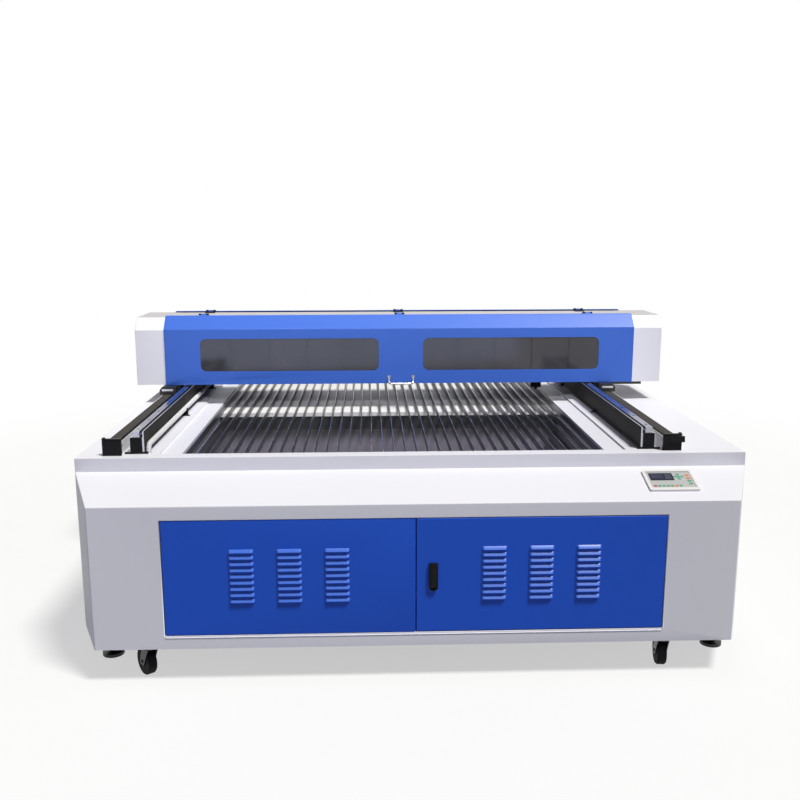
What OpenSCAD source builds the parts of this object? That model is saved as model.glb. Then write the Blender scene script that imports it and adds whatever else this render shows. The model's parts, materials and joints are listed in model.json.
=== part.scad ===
// Flatbed fabric laser cutter: a cabinet with a slatted bed, and a covered
// bridge that carries the laser tube and the cutting head over it.
// Every module is drawn from the deck datum: the middle of the deck's front
// edge, at the deck's top, with +X right, +Y back and +Z up. placed() then
// moves the datum so that the origin is on the floor under the middle of the
// machine's outer box.

/* [Deck] */
// Width of the deck
deck_w = 2400; // [2200:10:2600]
// Length of the deck, front to rear
deck_len = 3640; // [3600:10:4000]
// Height of the deck's top over the floor
deck_h = 755; // [700:5:850]
// Height of the band around the deck's edge
band_h = 50; // [40:1:60]
// Thickness of the deck sheet
deck_t = 3; // [2:0.5:4]
// Width of the rim in front of the slats
rim = 55; // [50:1:65]
// Thickness of the cabinet's sheets
sheet = 2; // [1.5:0.5:3]
// Gap between the cabinet's lower edge and the floor
ground_gap = 128; // [120:1:140]

/* [Slatted bed] */
// Width of the slatted opening
bed_w = 1544; // [1400:2:1560]
// Width of the deck's rim behind the slats
rear_rim = 240; // [200:5:280]
// Middle of the bed, from the middle of the deck
bed_x = -67; // [-90:1:-20]
// Distance from one slat to the next
slat_pitch = 42; // [36:1:60]
// Thickness of a slat
slat_t = 2; // [1:0.5:3]
// Height of a slat
slat_h = 28; // [20:1:50]
// Length of the open pit at the front of the bed
pit_len = 850; // [600:2:1000]
// Depth of the catch pan's floor under the deck
pan_depth = 560; // [300:10:570]

/* [Console] */
// How far the console stands out in front of the deck
bay = 206; // [190:1:230]
// How far the console's sloped top drops
slope_drop = 66; // [50:1:80]
// How far each end of the console is set in by its bevel
bevel = 92.5; // [60:0.5:120]

/* [Doors] */
// Width of a door
door_w = 859; // [800:1:870]
// Height of a door
door_h = 408; // [390:1:410]
// Top of the doors under the deck's top
door_top = 168; // [166:1:180]
// Depth of a door's folded edge
door_d = 18; // [14:1:24]
// Gap around each door
door_gap = 2.5; // [2.5:0.25:4]
// Width of a louver
louver_w = 83; // [60:1:100]
// Distance from one louver to the next below it
louver_pitch = 22.3; // [20:0.1:24]
// Distance from one column of louvers to the next
louver_col = 162.5; // [120:0.5:200]
// Louvers in a column
louver_n = 9; // [3:1:11]

/* [Keypad] */
// Width of the keypad's bezel
pad_w = 177; // [160:1:200]
// Height of the keypad's bezel
pad_h = 126; // [110:1:140]
// Middle of the keypad, from the middle of the deck
pad_x = 898; // [700:1:940]

/* [Rails] */
// Distance of each guide rail from the middle of the bed
rail_x = 929; // [920:1:940]
// Width of the rail profile
prof_w = 48; // [44:1:52]
// Height of the rail profile
prof_h = 60; // [50:1:64]
// Width of the guide rail
rail_w = 26; // [20:1:28]
// Height of the guide rail
rail_h = 22; // [18:1:26]
// Distance of each drive belt from the middle of the bed
belt_x = 1009; // [1005:1:1030]
// Width of a drive belt
belt_w = 40; // [20:1:42]
// Height of the belt's upper run over the deck
belt_z = 50; // [48:1:52]

/* [Bridge] */
// Width of the bridge over its end caps
bridge_w = 2426; // [2424:1:2460]
// Middle of the bridge, from the middle of the deck
bridge_x = -11.5; // [-20:0.5:0]
// Depth of the bridge over its covers
bridge_d = 360; // [340:2:400]
// Place of the bridge's front behind the deck's front edge, at rest
bridge_y = 1000; // [500:10:2000]
// Height of the bridge's lower edge over the deck
bridge_low = 87; // [84:1:100]
// Height of the bridge's top over the deck
bridge_top = 400; // [390:1:420]
// Size of the chamfer along each cover's top
chamfer = 57; // [50:1:70]
// Width of a cover
cover_w = 2164; // [2140:2:2200]
// How far a cover stands proud of the end caps
proud = 6; // [5:0.5:8]
// Width of a window
window_w = 818; // [700:2:900]
// Height of a window
window_h = 150; // [120:1:180]
// Corner radius of a window
window_r = 27; // [10:1:40]
// Distance of a window from the middle of the bridge
window_in = 102; // [60:1:120]

/* [Head] */
// Place of the cutting head, from the middle of the deck, at rest
head_x = 641; // [0:1:660]
// Length of the laser tube
tube_len = 1760; // [1600:10:1760]
// Diameter of the laser tube
tube_d = 80; // [60:1:84]
// Length of the focus tube under the head
nozzle_low = 45; // [44:1:60]

/* [Feet] */
// Diameter of a levelling foot
foot_d = 79; // [60:1:90]
// Diameter of a caster wheel
wheel_d = 100; // [90:1:102]
// Width of a caster wheel
wheel_w = 32; // [28:1:36]

/* [Hidden] */
$fn = 48;
EPS = 0.01;
RUN = 0.05;   // running clearance of a shaft in its bore
NEAR = 0.3;   // gap between parts that pass without touching

// Places that several parts share, from the deck datum.
half_w = deck_w / 2;
floor_z = -deck_h;
low_z = ground_gap - deck_h;
spigot = 60;
spigot_x = [-500, 500];
spigot_z = -330;
spigot_r = 75;
spigot_rim = 20;
lock_out = 12;
total_len = lock_out + bay + deck_len + spigot;
datum = [-bridge_x, lock_out + bay - total_len / 2, deck_h];

// Base frame: rectangular tubes that lie on one level, and posts on them.
frame_w = 60;
frame_h = 42;
frame_wall = 3;
frame_top = low_z + frame_h;
caster_in = [270, 320];
caster_end = [50, 200];
foot_in = [85, 70];
caster_x = [caster_in[0] - half_w, half_w - caster_in[1]];
foot_x = [foot_in[0] - half_w, half_w - foot_in[1]];
caster_y = [caster_end[0] - bay, deck_len - caster_end[1]];
foot_y = [frame_w / 2, deck_len - sheet - frame_w / 2];
post_x = [bed_x - bed_w / 2 - frame_w / 2, bed_x + bed_w / 2 + frame_w / 2];
post_y = [foot_y[0], deck_len / 2, foot_y[1]];

// Bed: the deck steps down to a border that rests on the slat frame.
ledge = 23;
border_w = 51;
border_z = -8;
border_in = bed_w / 2 + ledge;
border_out = border_in + border_w;
bed_len = deck_len - rim - rear_rim;
bed_y = [rim, rim + bed_len];
bar_h = 100;
bar_wall = 4;
slat_top = -1;
slat_low = slat_top - slat_h;
plate_t = 3;
comb_t = 6;
slat_n = floor((bed_w - slat_t) / slat_pitch) + 1;
pit_y = rim + pit_len;
plate_lip = 18;
fume_slot = [180, 60];
fume_pitch = 280;
beam_w = 40;
beam_wall = 3;
beam_n = 5;
beam_y = [for (i = [0:beam_n - 1]) pit_y + beam_w / 2 + plate_t
          + i * (bed_y[1] - comb_t - pit_y - beam_w - 2 * plate_t)
            / (beam_n - 1)];
pan_flange = 25;

// Console.
slope = atan(slope_drop / bay);
back_y = frame_w;
door_x = -3;
door_z = [-door_top - door_h, -door_top];
seam = door_gap * 0.6;
open_x = [door_x - door_w - seam - door_gap,
          door_x + door_w + seam + door_gap];
jamb_d = 20;
pin_in = [9, 6.5];
pin_r = 4;
pin_out = 6;
lock_x = 56.5;
lock_z = -376;
lock_size = [31, 98];
lock_d = 10;
lock_neck = [19, 24, 59];
lever_w = 21;
lever_t = 7.5;
louver_top = -270;
louver_d = 9;
louver_h = 11;
louver_t = 1.2;
inlet = [-950, -500];
inlet_r = 12;

// Rails and belts.
rail_y = [60, deck_len - 140];
block_y = [30, deck_len - 136];
block_w = 67;
block_len = 72;
cover_len = 14;
track_half = belt_w / 2 + 8;
belt_t = 2;
pulley_z = belt_z - 19;
pulley_r = belt_z - pulley_z - belt_t - 0.2;
idler_y = block_y[0] + 36;
drive_y = block_y[1] + 36;
axle_r = 5;
shaft_r = 10;
fin_t = 5;
fin_top = prof_h + rail_h;
bolt_pitch = 160;
bolt_r = 5.5;
bolt_deep = 6;
clip_n = 5;
clip_end = 114;
clip_pitch = 666;
clip_y = [for (i = [1 - clip_n:0]) rail_y[1] - clip_end + i * clip_pitch];

// Bridge.
bridge_mid = bridge_y + bridge_d / 2;
roof = bridge_top - proud;
lid_t = 2;
flange_in = 20;
roof_y = 80;
hinge_y = 85;
hinge_z = bridge_top + 2;
hinge_x = [-911, -4, 880];
hinge_w = 46;
hinge_pin = 2;
knuckle_r = 5;
knuckle_w = 11.5;
middle_w = 22;
leaf_t = 3;
beam_low = 117;
beam_h = 90;
beam_top = beam_low + beam_h;
beam_d = 100;
beam_t = 5;
beam_front = bridge_y + 215;
end_plate = [60, 36, 20];
truck = [46, 100];
truck_low = prof_h + 7;
truck_top = 105;
truck_y = [bridge_y + 100, bridge_y + 280];
xrail_x = [-1000, 880];
xrail = [17, 20];
xrail_z = 170;
tube_y = bridge_y + 265;
tube_z = 278;
tube_x0 = -960;
holder_in = 280;
holder = [30, 48];
head_y = bridge_y + 125;
barrel_r = 25;
slide_r = 16;
mirror_x = 880;
mirror_half = 28;
mirror_bore = 12;
motor_sq = 57;
belt_y = bridge_y + 191;
xbelt_w = 12;
xbelt_t = 1.7;
xpulley_r = 14.8;
xpulley_z = beam_top + motor_sq / 2;
belt_low = xpulley_z - xpulley_r - xbelt_t;
xmotor_x = -1020;
xidler_x = 790;
clamp_y = bridge_y - 50;
clamp_d = 110;
trip_x = 173;
trip_y = 55;

// ---------------------------------------------------------------- helpers

module placed() {
    translate(datum) children();
}

// A box from three spans, each [from, to].
module span(x, y, z) {
    translate([x[0], y[0], z[0]])
        cube([x[1] - x[0], y[1] - y[0], z[1] - z[0]]);
}

// A box centred on (x, y) that stands on z.
module block(x, y, z, size) {
    translate([x - size[0] / 2, y - size[1] / 2, z]) cube(size);
}

// Cylinders along X and along Y, centred on the given point.
module rod_x(p, r, len) {
    translate(p) rotate([0, 90, 0]) cylinder(r = r, h = len, center = true);
}

module rod_y(p, r, len) {
    translate(p) rotate([90, 0, 0]) cylinder(r = r, h = len, center = true);
}

// A profile drawn in the Y-Z plane, drawn out along X over [from, to].
module along_x(x) {
    translate([x[0], 0, 0]) rotate([90, 0, 90])
        linear_extrude(x[1] - x[0]) children();
}

// A profile drawn in the X-Z plane, drawn out along Y over [from, to].
module along_y(y) {
    translate([0, y[1], 0]) rotate([90, 0, 0])
        linear_extrude(y[1] - y[0]) children();
}

// A rectangle with true round corners, from its lower left corner.
module round_rect(size, r) {
    translate([r, 0]) square([size[0] - 2 * r, size[1]]);
    translate([0, r]) square([size[0], size[1] - 2 * r]);
    for (x = [r, size[0] - r], y = [r, size[1] - r])
        translate([x, y]) circle(r);
}

// A rectangular tube along Y.
module tube_y(x, y, z, wall) {
    difference() {
        span(x, y, z);
        span([x[0] + wall, x[1] - wall], [y[0] - 1, y[1] + 1],
             [z[0] + wall, z[1] - wall]);
    }
}

// Puts a copy on the left side of the bed, and a mirrored one on the right.
module both_sides() {
    translate([bed_x, 0, 0]) {
        children();
        mirror([1, 0, 0]) children();
    }
}

// ---------------------------------------------------------------- cabinet

// Welded frame: every tube shrinks by the wall to give its own inside, and
// the cross tubes and posts stay open at their ends.
module frame_tubes(wall) {
    z = [low_z + wall, frame_top - wall];
    hw = frame_w / 2 - wall;
    open = wall > 0 ? 1 : 0;
    side = half_w - sheet + open;
    front = half_w - bevel - 2 * sheet - wall;
    span([-front, front], [caster_y[0] - hw, caster_y[0] + hw], z);
    for (y = [foot_y[0], deck_len / 2, caster_y[1], foot_y[1]])
        span([-side, side], [y - hw, y + hw], z);
    for (x = caster_x)
        span([x - hw, x + hw], [caster_y[0], foot_y[1]], z);
    for (x = post_x, y = post_y)
        span([x - hw, x + hw], [y - hw, y + hw],
             [low_z + wall, open - bar_h]);
}

module base_frame() placed() color("dimgray") difference() {
    frame_tubes(0);
    frame_tubes(frame_wall);
}

module side_panel() {
    side = half_w - sheet;
    y = [0, deck_len - sheet];
    span([-half_w, -side], y, [low_z, -band_h]);
    span([-half_w, -side + jamb_d], y, [-band_h - sheet, -band_h]);
}

module left_side_panel() placed() color("white") side_panel();

module right_side_panel() placed() color("white")
    mirror([1, 0, 0]) side_panel();

module rear_panel() placed() color("white") difference() {
    span([-half_w, half_w], [deck_len - sheet, deck_len], [low_z, -band_h]);
    for (x = spigot_x)
        rod_y([x, deck_len, spigot_z], spigot_r - sheet, 20);
    // Hole for the mains cable.
    rod_y([inlet[0], deck_len, inlet[1]], inlet_r, 20);
}

module exhaust_outlets() placed() color("silver")
    for (x = spigot_x) difference() {
        union() {
            rod_y([x, deck_len + spigot / 2, spigot_z], spigot_r, spigot);
            rod_y([x, deck_len + sheet / 2, spigot_z],
                  spigot_r + spigot_rim, sheet);
        }
        rod_y([x, deck_len + spigot / 2, spigot_z], spigot_r - sheet,
              spigot + 2);
    }

// The console's outside, grown or shrunk by an inset from each face.
module console_body(inset, y_back) {
    slant = inset / cos(slope);
    side = inset * norm([bay, bevel]) / bay;
    intersection() {
        along_x([-half_w - 1, half_w + 1]) polygon([
            [y_back, low_z - 1], [inset - bay, low_z - 1],
            [inset - bay, (inset - bay) * slope_drop / bay - band_h - slant],
            [y_back, y_back * slope_drop / bay - band_h - slant]]);
        translate([0, 0, low_z]) linear_extrude(-low_z) polygon([
            [side - half_w, 0], [half_w - side, 0],
            [half_w - bevel - side, -bay], [side + bevel - half_w, -bay]]);
    }
}

module front_console() placed() color("white") {
    difference() {
        console_body(0, 0);
        difference() {
            console_body(sheet, EPS);
            // Bay floor on the base frame, and folded jambs of the doorway.
            span([-half_w, half_w], [-bay, 1],
                 [frame_top, frame_top + sheet]);
            doorway(sheet, jamb_d);
        }
        doorway(0, jamb_d + 10);
        pad_place() cube([pad_body[0] + 6, pad_body[1] + 6, 40],
                         center = true);
        for (m = [-1, 1])
            rod_pivots(m, pin_r + RUN, door_z[0] - pin_out - 2,
                       door_z[1] + pin_out + 2);
    }
}

// The doorway, grown by a margin on each side, to a depth behind the face.
module doorway(margin, depth) {
    span([open_x[0] - margin, open_x[1] + margin],
         [-bay - 1, -bay + depth],
         [door_z[0] - door_gap + 0.5 - margin,
          door_z[1] + door_gap - 0.5 + margin]);
}

// The pivot of one door: -1 is the left one.
module rod_pivots(side, r, z0, z1) {
    translate([door_x + side * (door_w + seam - pin_in[0]),
               pin_in[1] - bay, z0])
        cylinder(r = r, h = z1 - z0);
}

module deck() placed() color("white") {
    x = [bed_x - border_out, bed_x + border_out];
    difference() {
        span([-half_w, half_w], [0, deck_len], [-band_h, 0]);
        span([deck_t - half_w, half_w - deck_t], [deck_t, deck_len - deck_t],
             [-band_h - 1, -deck_t]);
        span(x, bed_y, [-band_h, 1]);
        // Slots beside the left rail, where the conduit bends down.
        for (e = [0, 1])
            translate([conduit_x, conduit_y[e], -band_h])
                mirror([0, e, 0]) slot(conduit_r + 1, elbow / 10);
    }
    // Border of the bed, a step lower than the deck.
    difference() {
        span([x[0] - deck_t, x[1] + deck_t],
             [bed_y[0] - deck_t, bed_y[1] + deck_t],
             [border_z - deck_t, -deck_t]);
        span(x, bed_y, [border_z, 1]);
        span([bed_x - border_in, bed_x + border_in], bed_y, [-band_h, 1]);
    }
}

// A slot that starts at a round end and runs along Y.
module slot(r, len) {
    for (y = [0, len]) translate([0, y, 0])
        cylinder(r = r, h = 2 * band_h);
    translate([-r, 0, 0]) cube([2 * r, len, 2 * band_h]);
}

// ---------------------------------------------------------------- bed

module slat_frame() placed() color("gray") {
    y = [deck_t + 1, deck_len - deck_t - 1];
    half = bed_w / 2;
    both_sides() {
        tube_y([half, half + frame_w], y, [-bar_h, border_z - deck_t],
               bar_wall);
        span([half, border_in], bed_y, [border_z - deck_t, border_z]);
    }
    difference() {
        for (y0 = [bed_y[0], bed_y[1] - comb_t])
            span([bed_x - half, bed_x + half], [y0, y0 + comb_t],
                 [-bar_h, border_z - deck_t]);
        for (i = [0:slat_n - 1])
            translate([slat_place(i), 0, slat_low])
                span([-slat_t / 2 - NEAR, slat_t / 2 + NEAR],
                     [bed_y[0] - 1, bed_y[1] + 1], [0, bar_h]);
    }
}

function slat_place(i) = bed_x + (i - (slat_n - 1) / 2) * slat_pitch;

module slats() placed() color("darkgray")
    for (i = [0:slat_n - 1])
        translate([slat_place(i), 0, 0])
            span([-slat_t / 2, slat_t / 2], bed_y, [slat_low, slat_top]);

module bed_plate() placed() color("whitesmoke") difference() {
    x = [bed_x - bed_w / 2 + 1, bed_x + bed_w / 2 - 1];
    union() {
        span(x, [pit_y, bed_y[1] - comb_t - 1], [slat_low - plate_t, slat_low]);
        // A stiffening strip, welded on below the front edge.
        span(x, [pit_y, pit_y + plate_t],
             [slat_low - plate_lip, slat_low - plate_t - EPS]);
    }
    // Fume slots between the beams.
    for (i = [1:beam_n - 2], k = [-2:2])
        block(bed_x + k * fume_pitch, (beam_y[i] + beam_y[i + 1]) / 2,
              -band_h, [fume_slot[0], fume_slot[1], band_h]);
}

module cross_beams() placed() color("gray")
    for (y = beam_y) difference() {
        z = [-bar_h, slat_low - plate_t];
        x = [bed_x - bed_w / 2, bed_x + bed_w / 2];
        span(x, [y - beam_w / 2, y + beam_w / 2], z);
        span([x[0] - 1, x[1] + 1],
             [y - beam_w / 2 + beam_wall, y + beam_w / 2 - beam_wall],
             [z[0] + beam_wall, z[1] - beam_wall]);
    }

// Inside of the catch pan: two tapers that cross, so every wall slopes.
pan_y = [back_y + 4, pit_y - 2];
pan_half = bed_w / 2 - 4;
pan_foot = 0.6;

module side_taper(grow) {
    half = pan_half + grow;
    top = -bar_h + 1;
    low = -pan_depth - grow;
    along_y([pan_y[0] - sheet, pan_y[1] + sheet]) polygon([
        [bed_x - half, top], [bed_x + half, top],
        [bed_x + half * pan_foot, low], [bed_x - half * pan_foot, low]]);
}

module end_taper(grow) {
    y = [pan_y[0] - grow, pan_y[1] + grow];
    top = -bar_h + 1;
    low = -pan_depth - grow;
    foot = (y[1] - y[0]) / 4;
    reach = pan_half + sheet;
    along_x([bed_x - reach, bed_x + reach]) polygon([
        [y[0], top], [y[1], top], [y[1] - foot, low], [y[0] + foot, low]]);
}

// Welded from flat sheets: each is a plate of its own up to the seam.
module catch_pan() placed() color("whitesmoke") {
    x = [bed_x - bed_w / 2 - pan_flange, bed_x + bed_w / 2 + pan_flange];
    y = [back_y + sheet, pit_y + pan_flange + 5];
    flange = [-bar_h - sheet, -bar_h];
    wall = [-pan_depth + EPS, flange[0] - EPS];
    mouth_x = [bed_x - pan_half + 2 * sheet, bed_x + pan_half - 2 * sheet];
    mouth_y = [pan_y[0] + 2 * sheet, pan_y[1] - 2 * sheet];
    // Side walls, between the end walls.
    intersection() {
        difference() {
            side_taper(sheet);
            side_taper(0);
        }
        end_taper(-EPS);
        span(x, y, wall);
    }
    // End walls.
    intersection() {
        difference() {
            end_taper(sheet);
            end_taper(0);
        }
        side_taper(sheet);
        span(x, [pan_y[0] - sheet, pan_y[1] + sheet], wall);
    }
    // Floor.
    intersection() {
        side_taper(sheet);
        end_taper(sheet);
        span(x, y, [-pan_depth - sheet, -pan_depth]);
    }
    // Flange strips under the frame.
    span([x[0], mouth_x[0]], y, flange);
    span([mouth_x[1], x[1]], y, flange);
    for (strip = [[y[0], mouth_y[0]], [mouth_y[1], y[1]]])
        span([mouth_x[0] + EPS, mouth_x[1] - EPS], strip, flange);
}

// ---------------------------------------------------------------- electrics

module bay_back_plate() placed() color("lightgray")
    span([sheet - half_w, half_w - sheet], [back_y, back_y + sheet],
         [frame_top, -bar_h]);

case_edge = 20;
case_slot = [4, 6];

module cooling_case(x, z, size) {
    n = 6;
    difference() {
        block(x, back_y - size[1] / 2, z, size);
        // Cooling slots across the front face.
        for (i = [0:n - 1])
            block(x, back_y - size[1],
                  z + case_edge + i * (size[2] - 2 * case_edge) / n,
                  [size[0] * 0.7, case_slot[0], case_slot[1]]);
    }
}

// Each case: its place along X, its height over the frame, and its size.
supply = [-520, 60, [320, 120, 200]];
drives = [[-140, 60, [160, 60, 220]], [60, 90, [70, 90, 160]],
          [170, 90, [70, 90, 160]], [420, 60, [220, 80, 140]]];

module laser_power_supply() placed() color("silver")
    cooling_case(supply[0], frame_top + supply[1], supply[2]);

module drive_electronics() placed() color("darkslategray")
    for (d = drives) cooling_case(d[0], frame_top + d[1], d[2]);

// ---------------------------------------------------------------- keypad

pad_y = -93.5;
pad_t = 8;
pad_r = 8;
pad_body = [140, 90, 30];
face_w = 157;
face_h = 99;
face_r = 3;
film = 2;

module pad_place() {
    translate([pad_x, pad_y, -band_h + pad_y * slope_drop / bay])
        rotate([slope, 0, 0]) children();
}

module keypad_bezel() placed() color("gainsboro") pad_place() {
    difference() {
        translate([-pad_w / 2, -pad_h / 2, 0])
            linear_extrude(pad_t) round_rect([pad_w, pad_h], pad_r);
        translate([-face_w / 2, -face_h / 2, pad_t - film])
            linear_extrude(2 * film) round_rect([face_w, face_h], face_r);
    }
    translate([-pad_body[0] / 2, -pad_body[1] / 2, -pad_body[2]])
        cube(pad_body);
}

screen = [84, 44];
screen_t = 1;
key = [11, 9];
key_t = 1.2;
key_r = 2;
row_n = 7;
row_pitch = 15;
margin = 9;
cross = [33, 20];
cross_pitch = 13;
side_key = [14, 9];
side_x = 58;
side_y = [-28.5, 17.5];

module keypad_screen() placed() color("midnightblue") pad_place()
    translate([margin - 1 - face_w / 2, -2, pad_t - film])
        linear_extrude(screen_t) round_rect(screen, key_r);

module key_at(x, y, size) {
    translate([x, y, pad_t - film])
        linear_extrude(key_t) round_rect(size, key_r);
}

module keypad_keys() placed() color("seagreen") pad_place() {
    // Bottom row.
    for (i = [0:row_n - 1])
        key_at(margin - face_w / 2 + i * row_pitch, margin - face_h / 2, key);
    // Arrow cross, and the column of keys at the right of it.
    for (p = [[0, 0], [-1, 0], [1, 0], [0, 1], [0, -1]])
        key_at(cross[0] - key[0] / 2 + p[0] * cross_pitch,
               cross[1] - key[1] / 2 + p[1] * cross_pitch, key);
    for (i = [0:3])
        key_at(side_x, side_y[0] + i * side_y[1], side_key);
}

// ---------------------------------------------------------------- doors

// A pressed louver: a hood that leans out from its top and opens below.
module louver(z) {
    low = z - louver_h;
    along_x([-louver_w / 2, louver_w / 2]) polygon([
        [0, z], [-louver_d, low], [louver_t - louver_d, low - 0.5],
        [1, z - 3]]);
    for (x = [-louver_w / 2, louver_w / 2 - louver_t])
        along_x([x, x + louver_t]) polygon([
            [1, z], [0, z], [-louver_d, low], [1, low]]);
}

module door(side) {
    x0 = side < 0 ? door_x - seam - door_w : door_x + seam;
    mid = x0 + door_w / 2;
    difference() {
        span([x0, x0 + door_w], [-bay, door_d - bay], door_z);
        span([x0 + sheet, x0 + door_w - sheet],
             [sheet - bay, door_d - bay + 1],
             [door_z[0] + sheet, door_z[1] - sheet]);
        for (c = [-1:1], i = [0:louver_n - 1])
            block(mid + c * louver_col, sheet / 2 - bay,
                  louver_top - i * louver_pitch - louver_h,
                  [louver_w - 3, sheet + 2, louver_h - 4]);
        if (side > 0)
            block(lock_x, -bay, lock_z - lock_neck[2] / 2 - 0.5,
                  [lock_neck[0] + 1, 30, lock_neck[2] + 1]);
    }
    for (c = [-1:1], i = [0:louver_n - 1])
        translate([mid + c * louver_col, -bay, 0])
            louver(louver_top - i * louver_pitch);
    // Pivot pins at the top and bottom of the outer edge.
    rod_pivots(side, pin_r, door_z[1] - sheet, door_z[1] + pin_out);
    rod_pivots(side, pin_r, door_z[0] - pin_out, door_z[0] + sheet);
}

module left_door() placed() color("royalblue") door(-1);

module right_door() placed() color("royalblue") door(1);

lever_pin = [-bay - 7, lock_z - 36];
lever_top = lock_z + 35;
lever_pin_r = 2;

module lock_case() placed() color("black") difference() {
    w = lock_size[0];
    h = lock_size[1];
    union() {
        // A plate with a square top and a round bottom.
        along_y([-bay - lock_d, -bay]) translate([lock_x, lock_z]) {
            translate([-w / 2, -h / 2 + w / 2]) square([w, h - w / 2]);
            translate([0, -h / 2 + w / 2]) circle(w / 2);
        }
        block(lock_x, -bay + lock_neck[1] / 2, lock_z - lock_neck[2] / 2,
              lock_neck);
    }
    // Recess for the lever.
    span([lock_x - lever_w / 2 - 0.5, lock_x + lever_w / 2 + 0.5],
         [-bay - lock_d - 1, -bay - 3], [lever_pin[1] - 8, lever_top + 1]);
    rod_x([lock_x, lever_pin[0], lever_pin[1]], lever_pin_r + RUN,
          lever_w + 9);
}

module lock_lever() placed() color("black") {
    span([lock_x - lever_w / 2, lock_x + lever_w / 2],
         [-bay - lock_out, -bay - lock_out + lever_t],
         [lever_pin[1], lever_top]);
    rod_x([lock_x, lever_pin[0], lever_pin[1]], lever_pin_r + 0.5, lever_w);
    rod_x([lock_x, lever_pin[0], lever_pin[1]], lever_pin_r, lever_w + 7);
}

// ---------------------------------------------------------------- rails

// Each side's parts are drawn for the right side of the bed, and mirrored.
module rail_profiles() placed() color("silver") both_sides()
    translate([rail_x, 0, 0]) difference() {
        union() {
            span([-prof_w / 2, prof_w / 2], rail_y, [0, prof_h]);
            span([-prof_w / 2 - fin_t, -prof_w / 2], rail_y, [0, fin_top]);
        }
        span([3 - prof_w / 2, prof_w / 2 - 3],
             [rail_y[0] - 1, rail_y[1] + 1], [4, prof_h - 5]);
    }

cap_t = 4;
cap_foot = [42, 7];

module rail_end_caps() placed() color("black") both_sides()
    translate([rail_x, 0, 0])
        for (e = [0, 1]) {
            y = e == 0 ? [rail_y[0] - cap_t, rail_y[0]]
                       : [rail_y[1], rail_y[1] + cap_t];
            span([3 - prof_w / 2, prof_w / 2 - 3], y, [0, prof_h]);
            span([-cap_foot[0], cap_foot[0]], y, [0, cap_foot[1]]);
        }

module rail_shape(grow) {
    h = rail_w / 2 + grow;
    polygon([[-h, 0], [h, 0], [h, 6], [h - 3, 9], [h - 3, 12], [h, 15],
             [h, rail_h + grow], [-h, rail_h + grow], [-h, 15],
             [3 - h, 12], [3 - h, 9], [-h, 6]]);
}

module guide_rails() placed() color("lightgray") both_sides()
    translate([rail_x, 0, prof_h]) difference() {
        along_y([rail_y[0] + 2, rail_y[1] - 2]) rail_shape(0);
        for (y = [rail_y[0] + bolt_pitch / 4:bolt_pitch:rail_y[1] - 20])
            translate([0, y, rail_h - bolt_deep])
                cylinder(r = bolt_r, h = bolt_deep + 4);
    }

module belt_tracks() placed() color("silver") both_sides()
    translate([belt_x, 0, 0]) difference() {
        y = [block_y[0] + cover_len, block_y[1]];
        span([-track_half, track_half], y, [0, belt_z - 4]);
        span([3 - track_half, track_half - 3], [y[0] - 1, y[1] + 1],
             [3, belt_z]);
        // The idler pulley's axle runs in the track's walls.
        rod_x([0, idler_y, pulley_z], axle_r + RUN, 2 * track_half + 2);
    }

// The belt loop: round at both ends, and flat between.
module belt_loop(r) {
    translate([idler_y, pulley_z]) circle(r);
    translate([drive_y, pulley_z]) circle(r);
    translate([idler_y, pulley_z - r]) square([drive_y - idler_y, 2 * r]);
}

module drive_belts() placed() color("dimgray") both_sides()
    translate([belt_x, 0, 0])
        along_x([-belt_w / 2, belt_w / 2]) difference() {
            belt_loop(belt_z - pulley_z);
            belt_loop(belt_z - pulley_z - belt_t);
        }

// Rear block: two cheeks, a base and a top plate around the drive pulley.
module drive_block() {
    half = block_w / 2;
    pocket = belt_w / 2 + 3;
    y = block_y[1];
    difference() {
        union() {
            span([-half, half], [y, y + block_len], [0, belt_z + 8]);
            span([-half + 2, half - 2], [y + 6, y + block_len],
                 [belt_z + 8, belt_z + 12]);
        }
        span([-pocket, pocket], [y - 1, drive_y + 24], [4, belt_z + 4]);
        rod_x([0, drive_y, pulley_z], shaft_r + RUN, block_w + 2);
    }
}

// Front block: a cover in front of the idler pulley, with a top plate.
module idler_cover() {
    half = block_w / 2;
    y = block_y[0];
    span([-half, half], [y, y + cover_len], [0, belt_z + 6]);
    span([2 - half, half - 2], [y + 2, y + cover_len],
         [belt_z + 6, belt_z + 8]);
    span([-half, half], [y, y + cover_len], [belt_z + 8, belt_z + 12]);
    span([half - 12, half - 2], [y + 2, y + 10],
         [belt_z + 12, belt_z + 16]);
}

module belt_end_blocks() placed() color("black") {
    both_sides() translate([belt_x, 0, 0]) {
        idler_cover();
        drive_block();
    }
    // Slanted tab on the outer side of the right front block.
    translate([bed_x + belt_x, block_y[0], 0])
        along_x([block_w / 2 - 46, block_w / 2 + 9]) polygon([
            [0, 34], [-6, 32], [-1, belt_z + 4], [0, belt_z + 4]]);
}

// A belt pulley with two flanges, centred on its own axis along X.
module pulley(p) {
    rod_x(p, pulley_r, belt_w + 1);
    for (s = [-1, 1])
        rod_x(p + [s * (belt_w / 2 + 1), 0, 0], pulley_r + 4, 1);
}

module idler(side) {
    p = [bed_x + side * belt_x, idler_y, pulley_z];
    pulley(p);
    rod_x(p, axle_r, 2 * track_half + 2);
}

module left_idler_pulley() placed() color("silver") idler(-1);

module right_idler_pulley() placed() color("silver") idler(1);

motor_x = bed_x + belt_x + block_w / 2;
motor_size = [112, motor_sq, motor_sq];
coupled = 25;

module drive_shaft() placed() color("silver") {
    for (s = [-1, 1]) pulley([bed_x + s * belt_x, drive_y, pulley_z]);
    translate([bed_x - belt_x - block_w / 2, drive_y, pulley_z])
        rotate([0, 90, 0])
            cylinder(r = shaft_r, h = 2 * belt_x + block_w + coupled);
}

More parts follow.
